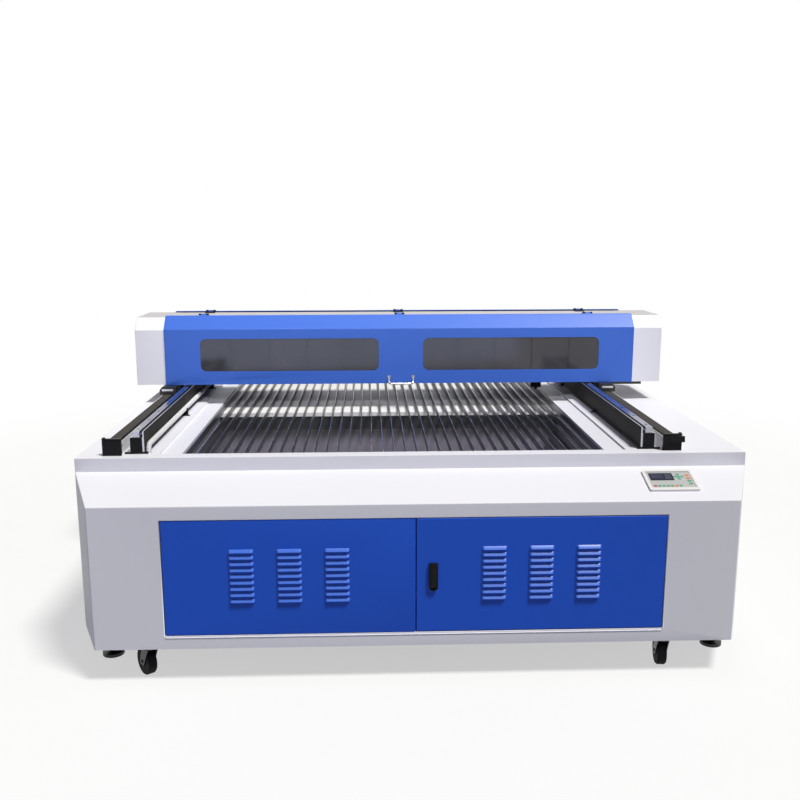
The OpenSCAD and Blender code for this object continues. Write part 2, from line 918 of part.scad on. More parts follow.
module drive_motor() placed() color("dimgray") difference() {
    union() {
        block(motor_x + motor_size[0] / 2 + 0.01, drive_y,
              pulley_z - motor_size[2] / 2, motor_size);
        // Foot that carries the motor on the deck.
        block(motor_x + motor_size[0] / 2, drive_y, 0,
              [70, motor_sq, 3]);
    }
    rod_x([motor_x + coupled / 2, drive_y, pulley_z], shaft_r + RUN,
          coupled + 4);
}

conduit_r = 10;
conduit_lift = 20;
conduit_x = bed_x - rail_x + prof_w / 2 + fin_t + 1 + conduit_r;
cable_r = 3;
cable_x = bed_x + rail_x - prof_w / 2 - fin_t - 1 - cable_r;
conduit_y = [rail_y[0] + conduit_r + 4, clip_y[clip_n - 1] + 60];
elbow = 24;
conduit_leg = 10;

// A run along Y that bends down into the deck at each end.
module run_with_elbows(x, r) {
    y = [conduit_y[0] + elbow, conduit_y[1] - elbow];
    translate([x, 0, conduit_lift + r]) {
        rod_y([0, (y[0] + y[1]) / 2, 0], r, y[1] - y[0]);
        for (e = [0, 1]) {
            translate([0, conduit_y[e], -conduit_lift - r - conduit_leg])
                cylinder(r = r, h = conduit_lift + r + conduit_leg - elbow);
            translate([0, y[e], -elbow]) rotate([0, -90, 0])
                rotate([0, 0, e == 0 ? 270 : 0])
                    rotate_extrude(angle = 90) translate([elbow, 0])
                        circle(r);
        }
    }
}

module cable_conduit() placed() {
    color("lightgray") run_with_elbows(conduit_x, conduit_r);
    color("sienna")
        rod_y([cable_x, (conduit_y[0] + conduit_y[1]) / 2, cable_r],
              cable_r, conduit_y[1] - conduit_y[0]);
}

// A saddle clip over the cable, open at the bottom.
module clip(x, y, r) {
    difference() {
        union() {
            block(x, y, 0, [2 * r + 12, 20, 2 * r + 8]);
            block(x, y, 0, [2 * r + 28, 20, 3]);
        }
        rod_y([x, y, r], r + NEAR, 30);
        block(x, y, -1, [2 * r + 2 * NEAR, 30, r + 1]);
    }
}

// A cradle that holds the conduit over the deck, open at the top.
module cradle(x, y, r) {
    difference() {
        union() {
            block(x, y, 0, [2 * r + 8, 14, conduit_lift + r + 2]);
            block(x, y, 0, [2 * r + 22, 14, 3]);
        }
        rod_y([x, y, conduit_lift + r], r + NEAR, 20);
    }
}

module cable_clips() placed() color("black") for (y = clip_y) {
    intersection() {
        cradle(conduit_x, y, conduit_r);
        span([bed_x - rail_x + prof_w / 2 + fin_t, 0], [0, deck_len],
             [0, band_h]);
    }
    intersection() {
        clip(cable_x, y, cable_r);
        span([0, bed_x + rail_x - prof_w / 2 - fin_t], [0, deck_len],
             [0, band_h]);
    }
}

// ---------------------------------------------------------------- bridge

// Cross-section of the bridge, set in from its outside.
module bridge_shape(inset) {
    i = inset;
    k = inset * tan(22.5);
    y = [bridge_y + i, bridge_y + bridge_d - i];
    polygon([
        [y[0], bridge_low - 1], [y[0], bridge_top - chamfer - k],
        [y[0] + chamfer - k, bridge_top - i],
        [y[1] - chamfer + k, bridge_top - i],
        [y[1], bridge_top - chamfer - k], [y[1], bridge_low - 1]]);
}

module bridge_box(x, y) {
    span([bridge_x + x[0], bridge_x + x[1]],
         [bridge_y + y[0], bridge_y + y[1]], [bridge_low, bridge_top + 1]);
}

module bridge_housing() placed() color("white") {
    half = bridge_w / 2;
    opening = cover_w / 2 - flange_in;
    difference() {
        intersection() {
            along_x([bridge_x - half, bridge_x + half]) bridge_shape(proud);
            bridge_box([-half, half], [0, bridge_d]);
        }
        along_x([bridge_x - half + sheet, bridge_x + half - sheet])
            bridge_shape(proud + sheet);
        bridge_box([-opening, opening], [-1, roof_y]);
        bridge_box([-opening, opening], [bridge_d - roof_y, bridge_d + 1]);
    }
}

module bridge_beam() placed() color("silver") {
    x = [bridge_x - bridge_w / 2 + sheet, bridge_x + bridge_w / 2 - sheet];
    y = [beam_front, beam_front + beam_d];
    difference() {
        span(x, y, [beam_low, beam_top]);
        span([x[0] - 1, x[1] + 1], [y[0] + beam_t, y[1] - beam_t],
             [beam_low + beam_t, beam_top - beam_t]);
    }
    // Plate at each end that joins the beam to its bearing blocks.
    both_sides() span([rail_x - end_plate[0], belt_x + end_plate[1]],
                      [bridge_y + end_plate[2],
                       bridge_y + bridge_d - end_plate[2]],
                      [truck_top, beam_low]);
}

module bearing_blocks() placed() color("dimgray") both_sides()
    for (y = truck_y) translate([rail_x, 0, 0]) difference() {
        span([-truck[0] / 2, truck[0] / 2],
             [y - truck[1] / 2, y + truck[1] / 2], [truck_low, truck_top]);
        translate([0, 0, prof_h])
            along_y([y - truck[1] / 2 - 1, y + truck[1] / 2 + 1])
                rail_shape(NEAR);
    }

module belt_clamps() placed() color("black") {
    top = bridge_low - 1;
    jaw = belt_w / 2 + 4;
    half = end_plate[1] + 1;
    both_sides() translate([belt_x, clamp_y, 0]) {
        // Upper jaw, with its riser behind the cover.
        along_y([0, clamp_d]) polygon([
            [-half, belt_z + NEAR], [half, belt_z + NEAR], [half, top - 14],
            [half - 12, top], [-half, top]]);
        span([-half, half - 3], [clamp_d - 40, clamp_d],
             [top - 1, truck_top]);
        // Steel jaw plate in the front face.
        span([-24, 26], [-1.5, 0], [belt_z + 17, belt_z + 26]);
        // Lower jaw under the belt, on four bolts.
        span([-jaw, jaw], [20, 90], [belt_z - belt_t - 5,
                                     belt_z - belt_t - NEAR]);
        for (x = [-jaw + 2, jaw - 2], y = [32, 78])
            translate([x, y, belt_z - belt_t - 2])
                cylinder(r = 1.5, h = belt_t + 6);
    }
    // Arm of the right clamp that trips the end switches.
    translate([bed_x + belt_x, clamp_y, 0])
        span([half - 12.5, trip_x], [trip_y, trip_y + 40], [top - 11, top]);
}

module laser_tube() placed() color("mistyrose") {
    x = [tube_x0, tube_x0 + tube_len];
    rod_x([(x[0] + x[1]) / 2, tube_y, tube_z], tube_d / 2, tube_len);
    for (e = [x[0] - 12, x[1] + 12])
        rod_x([e, tube_y, tube_z], 18, 24);
}

module tube_holders() placed() color("dimgray")
    for (x = [tube_x0 + holder_in, tube_x0 + tube_len - holder_in]) {
        difference() {
            span([x - holder[0] / 2, x + holder[0] / 2],
                 [tube_y - holder[1], tube_y + holder[1]],
                 [beam_top, tube_z + tube_d / 2 + 6]);
            rod_x([x, tube_y, tube_z], tube_d / 2 + NEAR, holder[0] + 10);
        }
        // Locking knob on top.
        translate([x, tube_y, tube_z + tube_d / 2 + 6])
            cylinder(r = 9, h = 14);
    }

// A mirror block with a round mirror plate on its slanted face.
module mirror_block(y, low) {
    difference() {
        span([mirror_x - mirror_half, mirror_x + mirror_half],
             [y - mirror_half, y + mirror_half], [low, tube_z + 30]);
        rod_x([mirror_x - mirror_half / 2 - 1, y, tube_z], mirror_bore,
              mirror_half + 2);
        rod_y([mirror_x, (head_y + tube_y) / 2, tube_z], mirror_bore,
              tube_y - head_y);
    }
}

module mirror_mounts() placed() color("goldenrod") {
    plate = 6;
    half = mirror_half + 4;
    span([mirror_x - half, mirror_x + half], [head_y - half, tube_y + half],
         [beam_top, beam_top + plate]);
    mirror_block(tube_y, beam_top + plate);
    mirror_block(head_y, beam_top + plate);
}

module head_rail() placed() color("lightgray")
    span([bridge_x + xrail_x[0], bridge_x + xrail_x[1]],
         [beam_front - xrail[0], beam_front],
         [xrail_z - xrail[1] / 2, xrail_z + xrail[1] / 2]);

module head_drive() placed() color("dimgray") {
    // Motor on the beam's left end, with its pulley in front.
    block(xmotor_x, beam_front + 40, beam_top, [motor_sq, 76, motor_sq]);
    // Idler at the right end, on its bracket.
    block(xidler_x, beam_front + 5, beam_top, [40, 8, 50]);
    for (x = [xmotor_x, xidler_x]) {
        rod_y([x, belt_y, xpulley_z], xpulley_r, xbelt_w + 1);
        rod_y([x, (belt_y + beam_front) / 2, xpulley_z], 4,
              beam_front + 4 - belt_y);
    }
    // Belt around both pulleys.
    translate([0, belt_y + xbelt_w / 2, 0]) rotate([90, 0, 0])
        linear_extrude(xbelt_w) difference() {
            head_belt_loop(xpulley_r + xbelt_t);
            head_belt_loop(xpulley_r);
        }
}

module head_belt_loop(r) {
    for (x = [xmotor_x, xidler_x])
        translate([x, xpulley_z]) circle(r);
    translate([xmotor_x, xpulley_z - r])
        square([xidler_x - xmotor_x, 2 * r]);
}

// Hinges lie along X at the front and the rear edge of the roof.
module hinge_row(rear) {
    m = rear ? 1 : 0;
    translate([bridge_x, bridge_mid, 0]) mirror([0, m, 0])
        translate([0, hinge_y - bridge_d / 2, 0]) children();
}

module cover_hinges() placed() color("black")
    for (rear = [false, true]) hinge_row(rear) for (x = hinge_x)
        translate([x, 0, hinge_z]) {
            side = (hinge_w - knuckle_w) / 2;
            rod_x([0, 0, 0], hinge_pin, hinge_w);
            for (s = [-side, side]) {
                rod_x([s, 0, 0], knuckle_r, knuckle_w);
                span([s - knuckle_w / 2, s + knuckle_w / 2], [0, 8],
                     [-knuckle_r, leaf_t - knuckle_r]);
            }
            span([-hinge_w / 2, hinge_w / 2], [7, 36],
                 [roof - hinge_z, roof - hinge_z + leaf_t]);
        }

// A cover, seen from inside as a bent sheet with a short return all round.
module cover(rear, windows) {
    half = cover_w / 2;
    translate([bridge_x, bridge_mid, 0]) mirror([0, rear ? 1 : 0, 0])
        translate([-bridge_x, -bridge_mid, 0]) difference() {
            union() {
                cover_band(-half, half, lid_t);
                cover_band(-half, -half + lid_t, proud - NEAR);
                cover_band(half - lid_t, half, proud - NEAR);
            }
            if (windows) for (s = [-1, 1]) window_cut(s);
        }
    // Moving hinge leaves, with the middle knuckle of each hinge.
    hinge_row(rear) for (x = hinge_x) difference() {
        union() {
            translate([x, 0, hinge_z])
                rod_x([0, 0, 0], knuckle_r, middle_w);
            span([x - middle_w / 2, x + middle_w / 2], [-22, 0],
                 [bridge_top, bridge_top + leaf_t]);
        }
        translate([x, 0, hinge_z])
            rod_x([0, 0, 0], hinge_pin + RUN, middle_w + 8);
    }
}

module cover_band(x0, x1, t) {
    intersection() {
        along_x([bridge_x + x0, bridge_x + x1]) difference() {
            bridge_shape(0);
            bridge_shape(t);
        }
        bridge_box([x0, x1], [-1, roof_y - 2]);
    }
}

window_z = 148;
window_lap = 12;
window_t = 3;

function window_x(s) =
    bridge_x + s * (window_in + window_w / 2) - window_w / 2;

module window_cut(s) {
    translate([window_x(s), bridge_y + 2 * lid_t, window_z])
        rotate([90, 0, 0]) linear_extrude(4 * lid_t)
            round_rect([window_w, window_h], window_r);
}

module front_cover() placed() color("royalblue") cover(false, true);

module rear_cover() placed() color("royalblue") cover(true, false);

module front_windows() placed() color("dimgray") for (s = [-1, 1])
    span([window_x(s) - window_lap, window_x(s) + window_w + window_lap],
         [bridge_y + lid_t, bridge_y + lid_t + window_t],
         [window_z - window_lap, window_z + window_h + window_lap]);

handle_half = 56;
handle_leg = 40;
handle_bend = 12;
handle_tilt = 42;
handle_r = 5;
handle_z = 118;

// A bow handle in its own plane: two legs along Z, bends and a bar.
module handle_bow() {
    for (s = [0, 1]) mirror([s, 0, 0]) {
        translate([handle_half, 0, -handle_leg])
            cylinder(r = handle_r, h = 2 * handle_leg - handle_bend);
        translate([handle_half - handle_bend, 0, handle_leg - handle_bend])
            rotate([90, 0, 0]) rotate_extrude(angle = 90)
                translate([handle_bend, 0]) circle(handle_r);
    }
    rod_x([0, 0, handle_leg], handle_r, 2 * (handle_half - handle_bend));
}

// The bow slopes forward and down from two round feet on the cover.
module front_handle() placed() color("lightgray")
    translate([bridge_x, bridge_y, handle_z]) {
        for (s = [-1, 1]) translate([s * handle_half, 0, 0])
            rotate([90, 0, 0]) cylinder(r = handle_r + 4, h = 2.5);
        difference() {
            rotate([90 + handle_tilt, 0, 0]) handle_bow();
            span([-handle_half - handle_leg, handle_half + handle_leg],
                 [0, 2 * handle_leg], [-2 * handle_leg, 2 * handle_leg]);
        }
    }

// ---------------------------------------------------------------- head

carriage_w = 84;
carriage_z = [110, 305];
slider = [24, 44];
plate_d = 12;
ring = [120, 150];
box_low = 240;
jaw_h = 7;

module head_carriage() placed() color("gray") {
    side = carriage_w / 2;
    face = beam_front - 18 - slider[0];
    difference() {
        union() {
            // Slider on the rail, and the plate and mirror box in front.
            span([head_x - side, head_x + side], [face, beam_front - 2],
                 [xrail_z - slider[1] / 2, xrail_z + slider[1] / 2]);
            span([head_x - side, head_x + side], [face - plate_d, face],
                 carriage_z);
            span([head_x - 30, head_x + 30],
                 [head_y - 32, face - plate_d], [box_low, carriage_z[1]]);
            span([head_x - 28, head_x + 28],
                 [head_y - 28, face - plate_d], ring);
            // Jaws that hold the lower run of the head's belt.
            for (z = [belt_low - jaw_h - NEAR, belt_low + xbelt_t + NEAR])
                span([head_x - 15, head_x + 15],
                     [face, belt_y + xbelt_w / 2 + 1], [z, z + jaw_h]);
        }
        span([head_x - side - 1, head_x + side + 1],
             [beam_front - xrail[0] - NEAR, beam_front],
             [xrail_z - xrail[1] / 2 - NEAR, xrail_z + xrail[1] / 2 + NEAR]);
        translate([head_x, head_y, ring[0] - 20])
            cylinder(r = slide_r + RUN, h = 150);
        rod_x([head_x + 20, head_y, tube_z], mirror_bore - 1, 60);
    }
}

barrel_h = 62;
slide_h = 110;
tip = [4, 12, 14];

module focus_tube() placed() color("black") {
    translate([head_x, head_y, nozzle_low]) {
        cylinder(r = barrel_r, h = barrel_h);
        translate([0, 0, barrel_h - 1]) cylinder(r = slide_r, h = slide_h);
        translate([0, 0, -tip[2]])
            cylinder(r1 = tip[0], r2 = tip[1], h = tip[2]);
    }
}

// ---------------------------------------------------------------- feet

foot_h = 12;
foot_cone = 10;
stud_r = 8;
nut = [14, 12];

module levelling_feet() placed() color("black")
    for (x = foot_x, y = foot_y) translate([x, y, floor_z]) {
        cylinder(r = foot_d / 2, h = foot_h);
        translate([0, 0, foot_h])
            cylinder(r1 = foot_d / 2, r2 = stud_r + 4, h = foot_cone);
        cylinder(r = stud_r, h = ground_gap);
        translate([0, 0, ground_gap - nut[1] - 2])
            cylinder(r = nut[0], h = nut[1], $fn = 6);
    }

caster_lift = 2;
caster_plate = 4;
plate_size = [96, 72];
swivel_h = 6;
swivel_r = 9;
trail = 34;
fork_top = low_z - caster_plate - swivel_h;

module caster_plates() placed() color("black")
    for (x = caster_x, y = caster_y) translate([x, y, low_z]) {
        translate([-plate_size[0] / 2, -plate_size[1] / 2, -caster_plate])
            cube([plate_size[0], plate_size[1], caster_plate]);
        translate([0, 0, -caster_plate - swivel_h - 4])
            cylinder(r = swivel_r, h = swivel_h + 4);
    }

// Swivel angle of each caster at rest, from trailing straight back.
function caster_turn(i) = [38, -6, 20, -25][i];

module at_caster(i) {
    translate([caster_x[i % 2], caster_y[floor(i / 2)], 0])
        rotate([0, 0, caster_turn(i)]) children();
}

wheel_z = floor_z + caster_lift + wheel_d / 2;

fork_t = 3;
head_r = 30;
wheel_axle = 6;

module fork(i) placed() color("black") at_caster(i) difference() {
    half = wheel_w / 2 + fork_t;
    union() {
        translate([0, 0, fork_top - 4]) cylinder(r = head_r, h = 9.5);
        for (s = [-1, 1])
            along_x([s * half - fork_t / 2, s * half + fork_t / 2])
                polygon([[-22, fork_top], [24, fork_top],
                         [trail + 14, wheel_z + 8], [trail + 14, wheel_z - 12],
                         [trail - 14, wheel_z - 12]]);
        rod_x([0, trail, wheel_z], wheel_axle, 2 * half + 9);
    }
    translate([0, 0, fork_top - 20]) cylinder(r = swivel_r + RUN, h = 40);
}

tread = 3;
hub = 4;

module wheel(i) placed() color("black") at_caster(i)
    translate([0, trail, wheel_z]) difference() {
        union() {
            rod_x([0, 0, 0], wheel_d / 2, wheel_w - 2 * hub);
            rod_x([0, 0, 0], wheel_d / 2 - tread, wheel_w);
        }
        rod_x([0, 0, 0], wheel_axle + RUN, wheel_w + 2);
    }

module front_left_fork() fork(0);
module front_right_fork() fork(1);
module rear_left_fork() fork(2);
module rear_right_fork() fork(3);
module front_left_wheel() wheel(0);
module front_right_wheel() wheel(1);
module rear_left_wheel() wheel(2);
module rear_right_wheel() wheel(3);

base_frame();
left_side_panel();
right_side_panel();
rear_panel();
front_console();
deck();
slat_frame();
slats();
bed_plate();
cross_beams();
catch_pan();
exhaust_outlets();
bay_back_plate();
laser_power_supply();
drive_electronics();
keypad_bezel();
keypad_screen();
keypad_keys();
rail_profiles();
rail_end_caps();
guide_rails();
belt_end_blocks();
belt_tracks();
drive_belts();
drive_motor();
cable_conduit();
cable_clips();
caster_plates();
levelling_feet();
left_door();
right_door();
lock_case();
lock_lever();
front_left_fork();
front_right_fork();
rear_left_fork();
rear_right_fork();
front_left_wheel();
front_right_wheel();
rear_left_wheel();
rear_right_wheel();
drive_shaft();
left_idler_pulley();
right_idler_pulley();
bridge_beam();
bridge_housing();
bearing_blocks();
belt_clamps();
laser_tube();
tube_holders();
mirror_mounts();
head_rail();
head_drive();
cover_hinges();
front_cover();
front_windows();
front_handle();
rear_cover();
head_carriage();
focus_tube();
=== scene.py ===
"""Looks of a flatbed fabric laser cutter.

A white cabinet carries a slatted bed, and a blue-and-white bridge runs over it.
"""

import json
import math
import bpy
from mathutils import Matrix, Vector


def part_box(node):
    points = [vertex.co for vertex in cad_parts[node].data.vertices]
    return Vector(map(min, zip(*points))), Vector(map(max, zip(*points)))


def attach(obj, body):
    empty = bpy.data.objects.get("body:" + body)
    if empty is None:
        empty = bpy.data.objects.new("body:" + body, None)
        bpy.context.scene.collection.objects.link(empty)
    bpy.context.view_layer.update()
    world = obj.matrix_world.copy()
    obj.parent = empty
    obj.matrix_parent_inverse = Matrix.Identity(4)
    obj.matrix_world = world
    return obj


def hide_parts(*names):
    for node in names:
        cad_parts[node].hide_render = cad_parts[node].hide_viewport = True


bl_info = {
    "name": "Fabric Laser Cutting Machine",
    "version": (1, 0, 0),
    "blender": (4, 5, 0),
    "location": "View3D > Sidebar > Laser Cutter",
    "description": "Dresses the packed frame of a flatbed fabric laser cutter",
    "category": "Object",
}

import bmesh
import bpy
from mathutils import Matrix, Vector

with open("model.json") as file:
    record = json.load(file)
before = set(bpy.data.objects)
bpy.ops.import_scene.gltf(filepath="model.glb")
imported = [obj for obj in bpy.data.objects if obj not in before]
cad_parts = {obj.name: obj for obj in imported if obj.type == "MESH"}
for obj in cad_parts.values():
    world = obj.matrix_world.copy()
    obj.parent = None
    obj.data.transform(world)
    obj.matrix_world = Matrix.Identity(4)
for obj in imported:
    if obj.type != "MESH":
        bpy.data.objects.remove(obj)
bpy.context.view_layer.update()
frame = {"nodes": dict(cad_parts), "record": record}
NODES = frame["nodes"]
BODY_OF = {
    node: body
    for body, nodes in frame["record"]["behaviour"]["bodies"].items()
    for node in nodes
}
MM = 0.001

# The deck's top face, front edge and middle: the machine's own datum.
DECK_LOW, DECK_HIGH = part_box("deck")
DATUM = Vector(((DECK_LOW.x + DECK_HIGH.x) / 2, DECK_LOW.y, DECK_HIGH.z))


def low(node):
    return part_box(node)[0]


def high(node):
    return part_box(node)[1]


# ------------------------------------------------------------------ nodes


class Value:
    """A socket that takes part in Python arithmetic: each step adds a Math node."""

    def __init__(self, sheet, socket):
        self.sheet = sheet
        self.socket = socket

    def math(self, operation, *terms):
        return self.sheet.node(
            "ShaderNodeMath", {"operation": operation}, dict(enumerate(terms))
        )

    def __add__(self, other):
        return self.math("ADD", self, other)

    def __radd__(self, other):
        return self.math("ADD", other, self)

    def __sub__(self, other):
        return self.math("SUBTRACT", self, other)

    def __rsub__(self, other):
        return self.math("SUBTRACT", other, self)

    def __mul__(self, other):
        return self.math("MULTIPLY", self, other)

    def __rmul__(self, other):
        return self.math("MULTIPLY", other, self)

    def __truediv__(self, other):
        return self.math("DIVIDE", self, other)

    def __pow__(self, other):
        return self.math("POWER", self, other)

    def __lt__(self, other):
        return self.math("LESS_THAN", self, other)

    def __gt__(self, other):
        return self.math("GREATER_THAN", self, other)

    def abs(self):
        return self.math("ABSOLUTE", self)

    def sin(self):
        return self.math("SINE", self)

    def fract(self):
        return self.math("FRACT", self)

    def at_most(self, other):
        return self.math("MINIMUM", self, other)

    def at_least(self, other):
        return self.math("MAXIMUM", self, other)

    def step(self, start, end):
        """Rises smoothly from 0 at start to 1 at end."""
        return self.sheet.node(
            "ShaderNodeMapRange",
            {"interpolation_type": "SMOOTHSTEP"},
            {0: self, 1: start, 2: end},
        )


class Sheet:
    """A node tree, shader or geometry, that is written as Python expressions."""

    def __init__(self, tree):
        self.tree = tree

    def feed(self, socket, value):
        if isinstance(value, Value):
            self.tree.links.new(value.socket, socket)
        elif isinstance(value, bpy.types.NodeSocket):
            self.tree.links.new(value, socket)
        else:
            if socket.type == "RGBA" and len(value) == 3:
                value = (*value, 1)
            socket.default_value = value

    def node(self, kind, settings=None, sockets=None, out=0):
        """Adds a node, with its settings, then its sockets by name or number."""
        node = self.tree.nodes.new(kind)
        for key, value in (settings or {}).items():
            setattr(node, key, value)
        for key, value in (sockets or {}).items():
            self.feed(node.inputs[key], value)
        return Value(self, node.outputs[out])

    def seen(self):
        """1 where the camera, a mirror image or a view through glass meets this."""
        path = self.node("ShaderNodeLightPath").socket.node
        total = Value(self, path.outputs["Is Camera Ray"])
        for ray in ("Is Glossy Ray", "Is Transmission Ray"):
            total = total.at_least(Value(self, path.outputs[ray]))
        return total


class Finish(Sheet):
    """A material whose even numbers sit on the Principled shader's own sockets."""

    def __init__(self, name, **even):
        self.material = bpy.data.materials.new(name)
        self.material.use_nodes = True
        super().__init__(self.material.node_tree)
        self.shader = self.tree.nodes["Principled BSDF"]
        for key, value in even.items():
            self.feed(self.shader.inputs[key.replace("_", " ")], value)
        self.place = self.node("ShaderNodeTexCoord", out="Object")
        self.x, self.y, self.z = (
            self.node("ShaderNodeSeparateXYZ", None, {0: self.place}, axis)
            for axis in "XYZ"
        )

    def set(self, name, value):
        self.feed(self.shader.inputs[name], value)

    def stretched(self, x, y, z):
        return self.node("ShaderNodeMapping", None, {0: self.place, "Scale": (x, y, z)})

    def noise(self, scale, detail=2, rough=0.5, where=None):
        sockets = {
            "Vector": where or self.place,
            "Scale": scale,
            "Detail": detail,
            "Roughness": rough,
        }
        return self.node("ShaderNodeTexNoise", None, sockets)

    def mix(self, share, a, b):
        """Blends two colours."""
        return self.node(
            "ShaderNodeMix",
            {"data_type": "RGBA"},
            {"Factor": share, 6: a, 7: b},
            2,
        )

    def bump(self, height, distance):
        sockets = {"Height": height, "Distance": distance}
        return self.node("ShaderNodeBump", None, sockets)

    def share_of(self, node):
        """Where a point lies across and along a CAD node's box, from 0 to 1."""
        a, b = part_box(node)
        return (self.x - a.x) / (b.x - a.x), (self.y - a.y) / (b.y - a.y)


def shade(colour, factor):
    return tuple(min(1, c * factor) for c in colour)


# ------------------------------------------------------------------ finishes

# Scale of the fine orange peel on sprayed paint, and how high it stands in metres.
PEEL = 420
PEEL_HEIGHT = 0.00003
# How far the machined lines of a drawn metal are stretched along it.
LINE_STRETCH = 0.006
# Brightness of rubbed patches on black parts.
RUBBED = 1.9


def powder_coat(name, colour, rough, shine=0.22):
    """Sprayed and baked sheet metal: an even colour with a fine orange peel."""
    m = Finish(name, Specular_IOR_Level=shine)
    cloud = m.noise(1.7, 3)
    m.set("Base Color", m.mix(cloud, shade(colour, 0.965), shade(colour, 1.03)))
    peel = m.noise(PEEL, 2)
    m.set("Roughness", rough + 0.05 * (m.noise(23, 4) - 0.5) + 0.05 * peel)
    m.set("Normal", m.bump(peel, PEEL_HEIGHT))
    return m.material


def topped_coat(name, colour, node):
    """Powder coat that turns greyer and duller on the topmost faces of a node."""
    m = Finish(name, Specular_IOR_Level=0.22)
    top = high(node).z
    # Greyer and duller within the top few millimetres of the node.
    greying = m.z.step(top - 3 * MM, top - 1 * MM)
    film = m.mix(m.noise(6, 4), (0.46, 0.45, 0.47), (0.54, 0.52, 0.54))
    m.set("Base Color", m.mix(greying, colour, film))
    peel = m.noise(PEEL, 2)
    m.set("Roughness", 0.36 + 0.05 * peel + 0.3 * greying)
    m.set("Normal", m.bump(peel, PEEL_HEIGHT))
    return m.material


def drawn_metal(name, colour, rough, along=1, lines=900):
    """Extruded or drawn metal: fine lines along one axis, and faint dull smears."""
    m = Finish(name, Metallic=1.0)
    scale = [lines] * 3
    scale[along] = lines * LINE_STRETCH
    line = m.noise(1, 3, 0.6, m.stretched(*scale))
    smear = m.noise(7, 4, 0.6).step(0.35, 0.75)
    m.set("Base Color", m.mix(line, shade(colour, 0.86), colour))
    m.set("Roughness", rough + 0.16 * (line - 0.5) + 0.08 * (1 - smear))
    m.set("Normal", m.bump(line, 0.00002))
    return m.material


def cast_black(name, colour, rough, grain=260):
    """Blackened or moulded black parts with a fine grain and rubbed patches."""
    m = Finish(name, Specular_IOR_Level=0.1)
    fine = m.noise(grain, 3)
    rub = m.noise(30, 4).step(0.45, 0.8)
    m.set("Base Color", m.mix(rub, colour, shade(colour, RUBBED)))
    m.set("Roughness", rough - 0.1 * rub + 0.08 * fine)
    m.set("Normal", m.bump(fine, 0.00006))
    return m.material


def make_finishes(colours):
    """Every finish of the machine, by its own name."""
    white = tuple(colours.white)
    blue = tuple(colours.blue)
    cover = tuple(colours.cover)
    black = tuple(colours.black)
    return {
        "white": powder_coat("white_powder_coat", white, 0.36),
        "blue": powder_coat("blue_powder_coat", blue, 0.36),
        # The louvre hoods take a paler copy of the door blue: painted sheen where the
        # hoods catch the light.
        "hood": powder_coat("hood_powder_coat", (0.040, 0.145, 0.66), 0.3, 0.5),
        # The covers' colour is the door blue made paler: painted sheen on the front and
        # rear covers.
        "cover": powder_coat("cover_powder_coat", cover, 0.34, 0.36),
        "rear": topped_coat("rear_cover_coat", cover, "rear_cover"),
        "housing": topped_coat("housing_coat", white, "bridge_housing"),
        "frame": powder_coat("dark_frame_enamel", (0.045, 0.047, 0.052), 0.45),
        "track": powder_coat("silver_track_paint", (0.66, 0.66, 0.67), 0.42),
        "rail": rail_extrusion(),
        "guide": drawn_metal("guide_rail_steel", (0.42, 0.42, 0.46), 0.16),
        "beam": drawn_metal("anodised_beam", (0.58, 0.59, 0.61), 0.4, 0),
        "ground": drawn_metal("ground_rail_steel", (0.72, 0.73, 0.75), 0.14),
        "ground_x": drawn_metal("ground_beam_rail", (0.72, 0.73, 0.75), 0.16, 0),
        "zinc": drawn_metal("galvanised_sheet", (0.6, 0.61, 0.62), 0.42, 2, 60),
        "slat": slat_steel(),
        "plate": bed_plate_paint(),
        "pan": pan_enamel(),
        "clamp": clamp_steel(black),
        "black": cast_black("black_oxide", black, 0.34),
        "matt_black": cast_black("moulded_black", black, 0.5, 700),
        "rubber": cast_black("tyre_rubber", (0.007, 0.007, 0.008), 0.6, 500),
        "foot": powder_coat("foot_enamel", (0.006, 0.006, 0.008), 0.22, 0.5),
        "belt": belt_rubber(),
        "chrome": chrome(),
        "smoked": smoked_acrylic(),
        "bezel": keypad_plate(),
        "screen": keypad_display(),
        "glass": tube_glass(),
        "brass": drawn_metal("gold_mirror_mount", (0.55, 0.40, 0.16), 0.3, 2),
        "conduit": powder_coat("conduit_plastic", (0.66, 0.66, 0.69), 0.5),
        "cable": cast_black("brown_cable", (0.055, 0.030, 0.022), 0.4),
        "keys": keypad_colours(),
    }


def slat_steel():
    """Slats: rolled steel with heat stains, paler along the top edge, partly from wear
    and partly as a painted highlight.
    """
    m = Finish("slat_steel", Metallic=1.0)
    line = m.noise(1, 3, 0.6, m.stretched(300, 2, 900))
    stain = m.noise(1, 4, 0.6, m.stretched(14, 5, 30)).step(0.4, 0.75)
    top = high("slats").z
    # Paler along the top edge: wear, and a painted highlight on the top edges.
    wear_and_highlight = m.z.step(top - 3 * MM, top - 0.5 * MM)
    plain = m.mix(stain, (0.20, 0.20, 0.22), (0.12, 0.11, 0.12))
    m.set("Base Color", m.mix(wear_and_highlight, plain, (0.50, 0.50, 0.53)))
    m.set("Roughness", 0.30 - 0.12 * wear_and_highlight + 0.12 * line + 0.1 * stain)
    m.set("Normal", m.bump(line, 0.00003))
    return m.material


